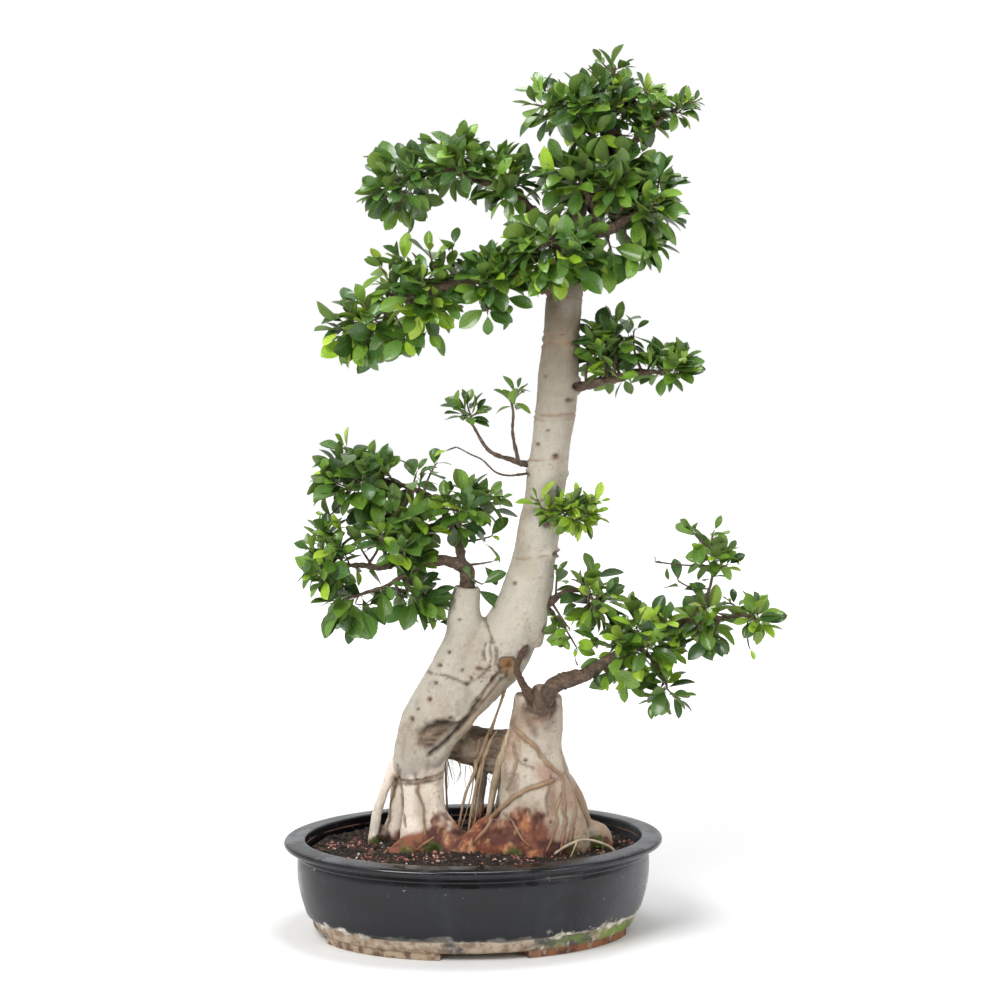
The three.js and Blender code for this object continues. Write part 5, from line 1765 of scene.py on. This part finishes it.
LEAF_MATERIALS = [leaf_finish("leaf_top"), leaf_finish("leaf_underside", under=True), stalk_finish()]
print("leaf shapes", len(LEAF_SHAPES), "with", len(LEAF_SHAPES[0][1]), "faces each")

# %% Leaves on the shoots
OLD_TONES = [(0.03, 0.078, 0.01), (0.056, 0.128, 0.013), (0.092, 0.18, 0.018), (0.04, 0.095, 0.018),
             (0.128, 0.24, 0.024), (0.068, 0.148, 0.022)]
YOUNG_TONES = [(0.175, 0.3, 0.018), (0.235, 0.37, 0.022), (0.3, 0.42, 0.036), (0.14, 0.26, 0.016),
               (0.205, 0.34, 0.02)]
LEAF_LENGTH = (0.039, 0.059)
GOLDEN_ANGLE = 137.5


def leaf_frame(way, toward, rng):
    """Side, length and face directions of a leaf pointing along way, its top toward toward."""
    length = way.normalized()
    face = toward - length * toward.dot(length)
    if face.length < 1e-4:
        face = length.orthogonal()
    face.normalize()
    face = (face + length.cross(face) * rng.uniform(-0.35, 0.35)).normalized()
    return np.array([length.cross(face), length, face])


def one_leaf(rng, base, along, toward, size, tone, room):
    """A leaf, made smaller if its tip would stand outside the tuft's oval."""
    if room is not None:
        centre, half = room
        tip = base + along.normalized() * size * 1.1
        over = math.sqrt(sum(((a - b) / c) ** 2 for a, b, c in zip(tip, centre, half)))
        size *= max(0.55, 1 - 0.8 * max(0.0, over - 1.14))
    width = rng.uniform(0.8, 1.14)
    shade = rng.uniform(0.78, 1.3)
    shape = rng.randrange(len(LEAF_SHAPES))
    return shape, (size * width, size, size), leaf_frame(along, toward, rng), base, np.array(tone) * shade


def shoot_leaves(rng, shoot, young, size_factor, room, drooping):
    """A rosette at the tip of a shoot and single leaves, left and right, down its twig."""
    _, knee, tip, way, wanted, length = shoot
    count = wanted or rng.randint(5, 9)
    side = way.orthogonal().normalized()
    third = way.cross(side)
    turn = rng.uniform(0, 6.3)
    vigour = size_factor * rng.uniform(0.8, 1.12)
    leaves = []
    ages = [i / max(count - 1, 1) for i in range(count)]
    places = [(tip + way * (0.004 - 0.019 * age), age) for age in ages]
    span = (tip - knee).length if not wanted else 0.0
    if wanted:
        room = None
    for k in range(1, min(5, int(span / 0.014))):
        places.append((tip.lerp(knee, (k + 1) * 0.016 / max(span, 0.02)), 1.0))
    for base, age in places:
        turn += math.radians(GOLDEN_ANGLE + rng.uniform(-14, 14))
        lean = math.radians(26 + 54 * age + rng.uniform(-20, 20))
        out = side * math.cos(turn) + third * math.sin(turn)
        along = way * math.cos(lean) + out * math.sin(lean) - Vector((0, 0, 0.16 * age + drooping))
        light = rng.uniform(-0.4, 0.3), rng.uniform(-0.75, 0.15), rng.uniform(0.35, 0.95)
        toward = way * 0.5 + Vector(light)
        size = (length * rng.uniform(0.85, 1.1)) if wanted else rng.uniform(*LEAF_LENGTH) * vigour
        size *= 0.55 + 0.45 * min(1.0, age * 2.0)
        fresh = rng.random() < young * (1.8 - 1.3 * age)
        tone = rng.choice(YOUNG_TONES if fresh else OLD_TONES)
        leaves.append(one_leaf(rng, base, along, toward, size * (0.84 if fresh else 1.0), tone, room))
    return leaves


def placed_leaves(leaves):
    """Copies of the leaf shapes, one for each (shape, size, axes, base, tone)."""
    points, faces, parts, maps, tones = [], [], [], [], []
    total = 0
    for shape, size, axes, base, tone in leaves:
        shape_points, shape_faces, shape_map, shape_parts = LEAF_SHAPES[shape]
        points.append(shape_points * size @ axes + np.array(base))
        faces += [tuple(total + v for v in face) for face in shape_faces]
        parts += shape_parts
        maps.append(shape_map)
        tones.append(np.tile(tone, (len(shape_points), 1)))
        total += len(shape_points)
    return points, faces, parts, maps, tones


def leafy_piece(name, points, faces, parts, maps, tones):
    piece = mesh_piece(name, np.vstack(points), faces, LEAF_MATERIALS, parts)
    corners = np.empty(len(piece.data.loops), np.int64)
    piece.data.loops.foreach_get("vertex_index", corners)
    piece.data.uv_layers.new(name="leaf_map").data.foreach_set("uv", np.vstack(maps)[corners].ravel())
    paint(piece, "leaf_tone", np.vstack(tones))
    return piece


def leaf_spray(tuft, young, size_factor, seed):
    """All the leaves of one tuft as one piece."""
    rng = random.Random(seed)
    low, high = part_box(tuft)
    room = ((low + high) / 2, (high - low) / 2)
    drooping = 0.55 if tuft == "leaves_low_left_bottom" else 0.0
    leaves = []
    for shoot in SHOOTS[tuft]:
        leaves += shoot_leaves(rng, shoot, young, size_factor, room, drooping)
    piece = leafy_piece(tuft + "_spray", *placed_leaves(leaves))
    piece.data.set_sharp_from_angle(angle=math.radians(60))
    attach(piece, "root")
    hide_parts(tuft)
    return len(leaves)


leaf_count = 0
for index, (tuft, (_, young, _, size_factor)) in enumerate(TUFTS.items()):
    leaf_count += leaf_spray(tuft, young, size_factor, 200 + index)
print(leaf_count, "leaves")

# %% [markdown]
# ## Moss and a seedling
# Moss fills the damp corners where the roots meet the soil. It is made of short blades that
# stand out from whatever surface a ray finds there. A weed seedling grows on the right, small
# but easy to see against the dark soil.

# %% Moss and a seedling
# Along, height, half width, half height.
MOSS_PLACES = [(-62, 132, 11, 12), (-140, 130, 11, 8), (-97, 126, 12, 6), (62, 124, 9, 5),
               (142, 142, 7, 14), (150, 128, 10, 7), (184, 130, 9, 5), (-18, 122, 16, 3),
               (112, 122, 16, 3)]
MOSS_TONES = [(0.06, 0.11, 0.016), (0.115, 0.175, 0.028), (0.2, 0.24, 0.05)]
SEEDLING_TONE = (0.13, 0.29, 0.03)
BLADE = ((0, 2, 1), (0, 1, 3), (1, 2, 3), (2, 0, 3))


def moss_blades(rng, per_place=150):
    points, faces, tones = [], [], []
    aim = (planted(0, 1, 0) - planted(0, 0, 0)).normalized()
    for x, z, half_width, half_height in MOSS_PLACES:
        for _ in range(per_place):
            start = planted(x + half_width * rng.gauss(0, 0.5), -400, z + half_height * rng.gauss(0, 0.5))
            hit, place, normal, _ = trunk.ray_cast(start, aim)
            if not hit or place.z < soil_level(place.x, place.y) - 0.001:
                continue
            spray = Vector([rng.gauss(0, 0.45) for _ in range(3)])
            way = (normal + spray + Vector((0, 0, 0.4))).normalized()
            side = way.orthogonal().normalized() * rng.uniform(0.0004, 0.0008)
            third = way.cross(side)
            base, length = place - way * 0.001, rng.uniform(0.0025, 0.0055)
            first = len(points)
            points += [base + side, base - side * 0.5 + third, base - side * 0.5 - third,
                       base + way * length]
            faces += [tuple(first + v for v in face) for face in BLADE]
            tone = np.array(rng.choice(MOSS_TONES))
            # Blade bases at half the tone of the tips: painted shade deep in the mat.
            tones += [tone * 0.5] * 3 + [tone]
    return points, faces, np.array(tones)


def moss_finish():
    f = Finish("damp_moss", Roughness=0.85)
    grain = f.noise(600, 4)
    colour = f.mix(f.between(grain, 0.3, 0.7, 0.0, 0.5), f.attribute("moss_tone"), (0.05, 0.06, 0.012))
    return f.set(Base_Color=colour, Normal=f.bump(grain, 0.0004, 0.7))


blade_points, blade_faces, blade_tones = moss_blades(random.Random(8))
moss = mesh_piece("moss_patches", blade_points, blade_faces, [moss_finish()])
paint(moss, "moss_tone", blade_tones)
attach(moss, "root")


def seedling(rng):
    """A stem with two pairs of small leaves, from the same leaf shapes."""
    foot = planted(188, -46, 0)
    foot.z = soil_level(foot.x, foot.y)
    leaves = []
    for pair, height in enumerate((0.01, 0.015)):
        for k in range(2):
            angle = math.pi * k + 1.3 * pair + 0.4
            axes = leaf_frame(Vector((math.cos(angle), math.sin(angle), 0.45)), Vector((0, 0, 1)), rng)
            leaves.append((1, 0.01 - 0.002 * pair, axes, foot + Vector((0, 0, height)), SEEDLING_TONE))
    points, faces, parts, maps, tones = placed_leaves(leaves)
    place = tree_places(np.array([foot]))[0]
    stations = [(*(place - (0, 0, 3)), 0.7), (*(place + (0.4, 0, 7)), 0.6), (*(place + (0, 0, 15)), 0.5)]
    stem_points, stem_faces = tube(stations, sides=6, step=3)
    total = sum(len(leaf) for leaf in points)
    points.append(np.array([planted(*p) for p in stem_points]))
    faces += [tuple(total + v for v in face) for face in stem_faces]
    parts += [2] * len(stem_faces)
    maps.append(np.tile((0.5, 0.0), (len(stem_points), 1)))
    tones.append(np.tile(SEEDLING_TONE, (len(stem_points), 1)))
    return points, faces, parts, maps, tones


sprout = leafy_piece("soil_seedling", *seedling(random.Random(3)))
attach(sprout, "root")
print("moss blades", len(blade_faces) // len(BLADE), "and a seedling")
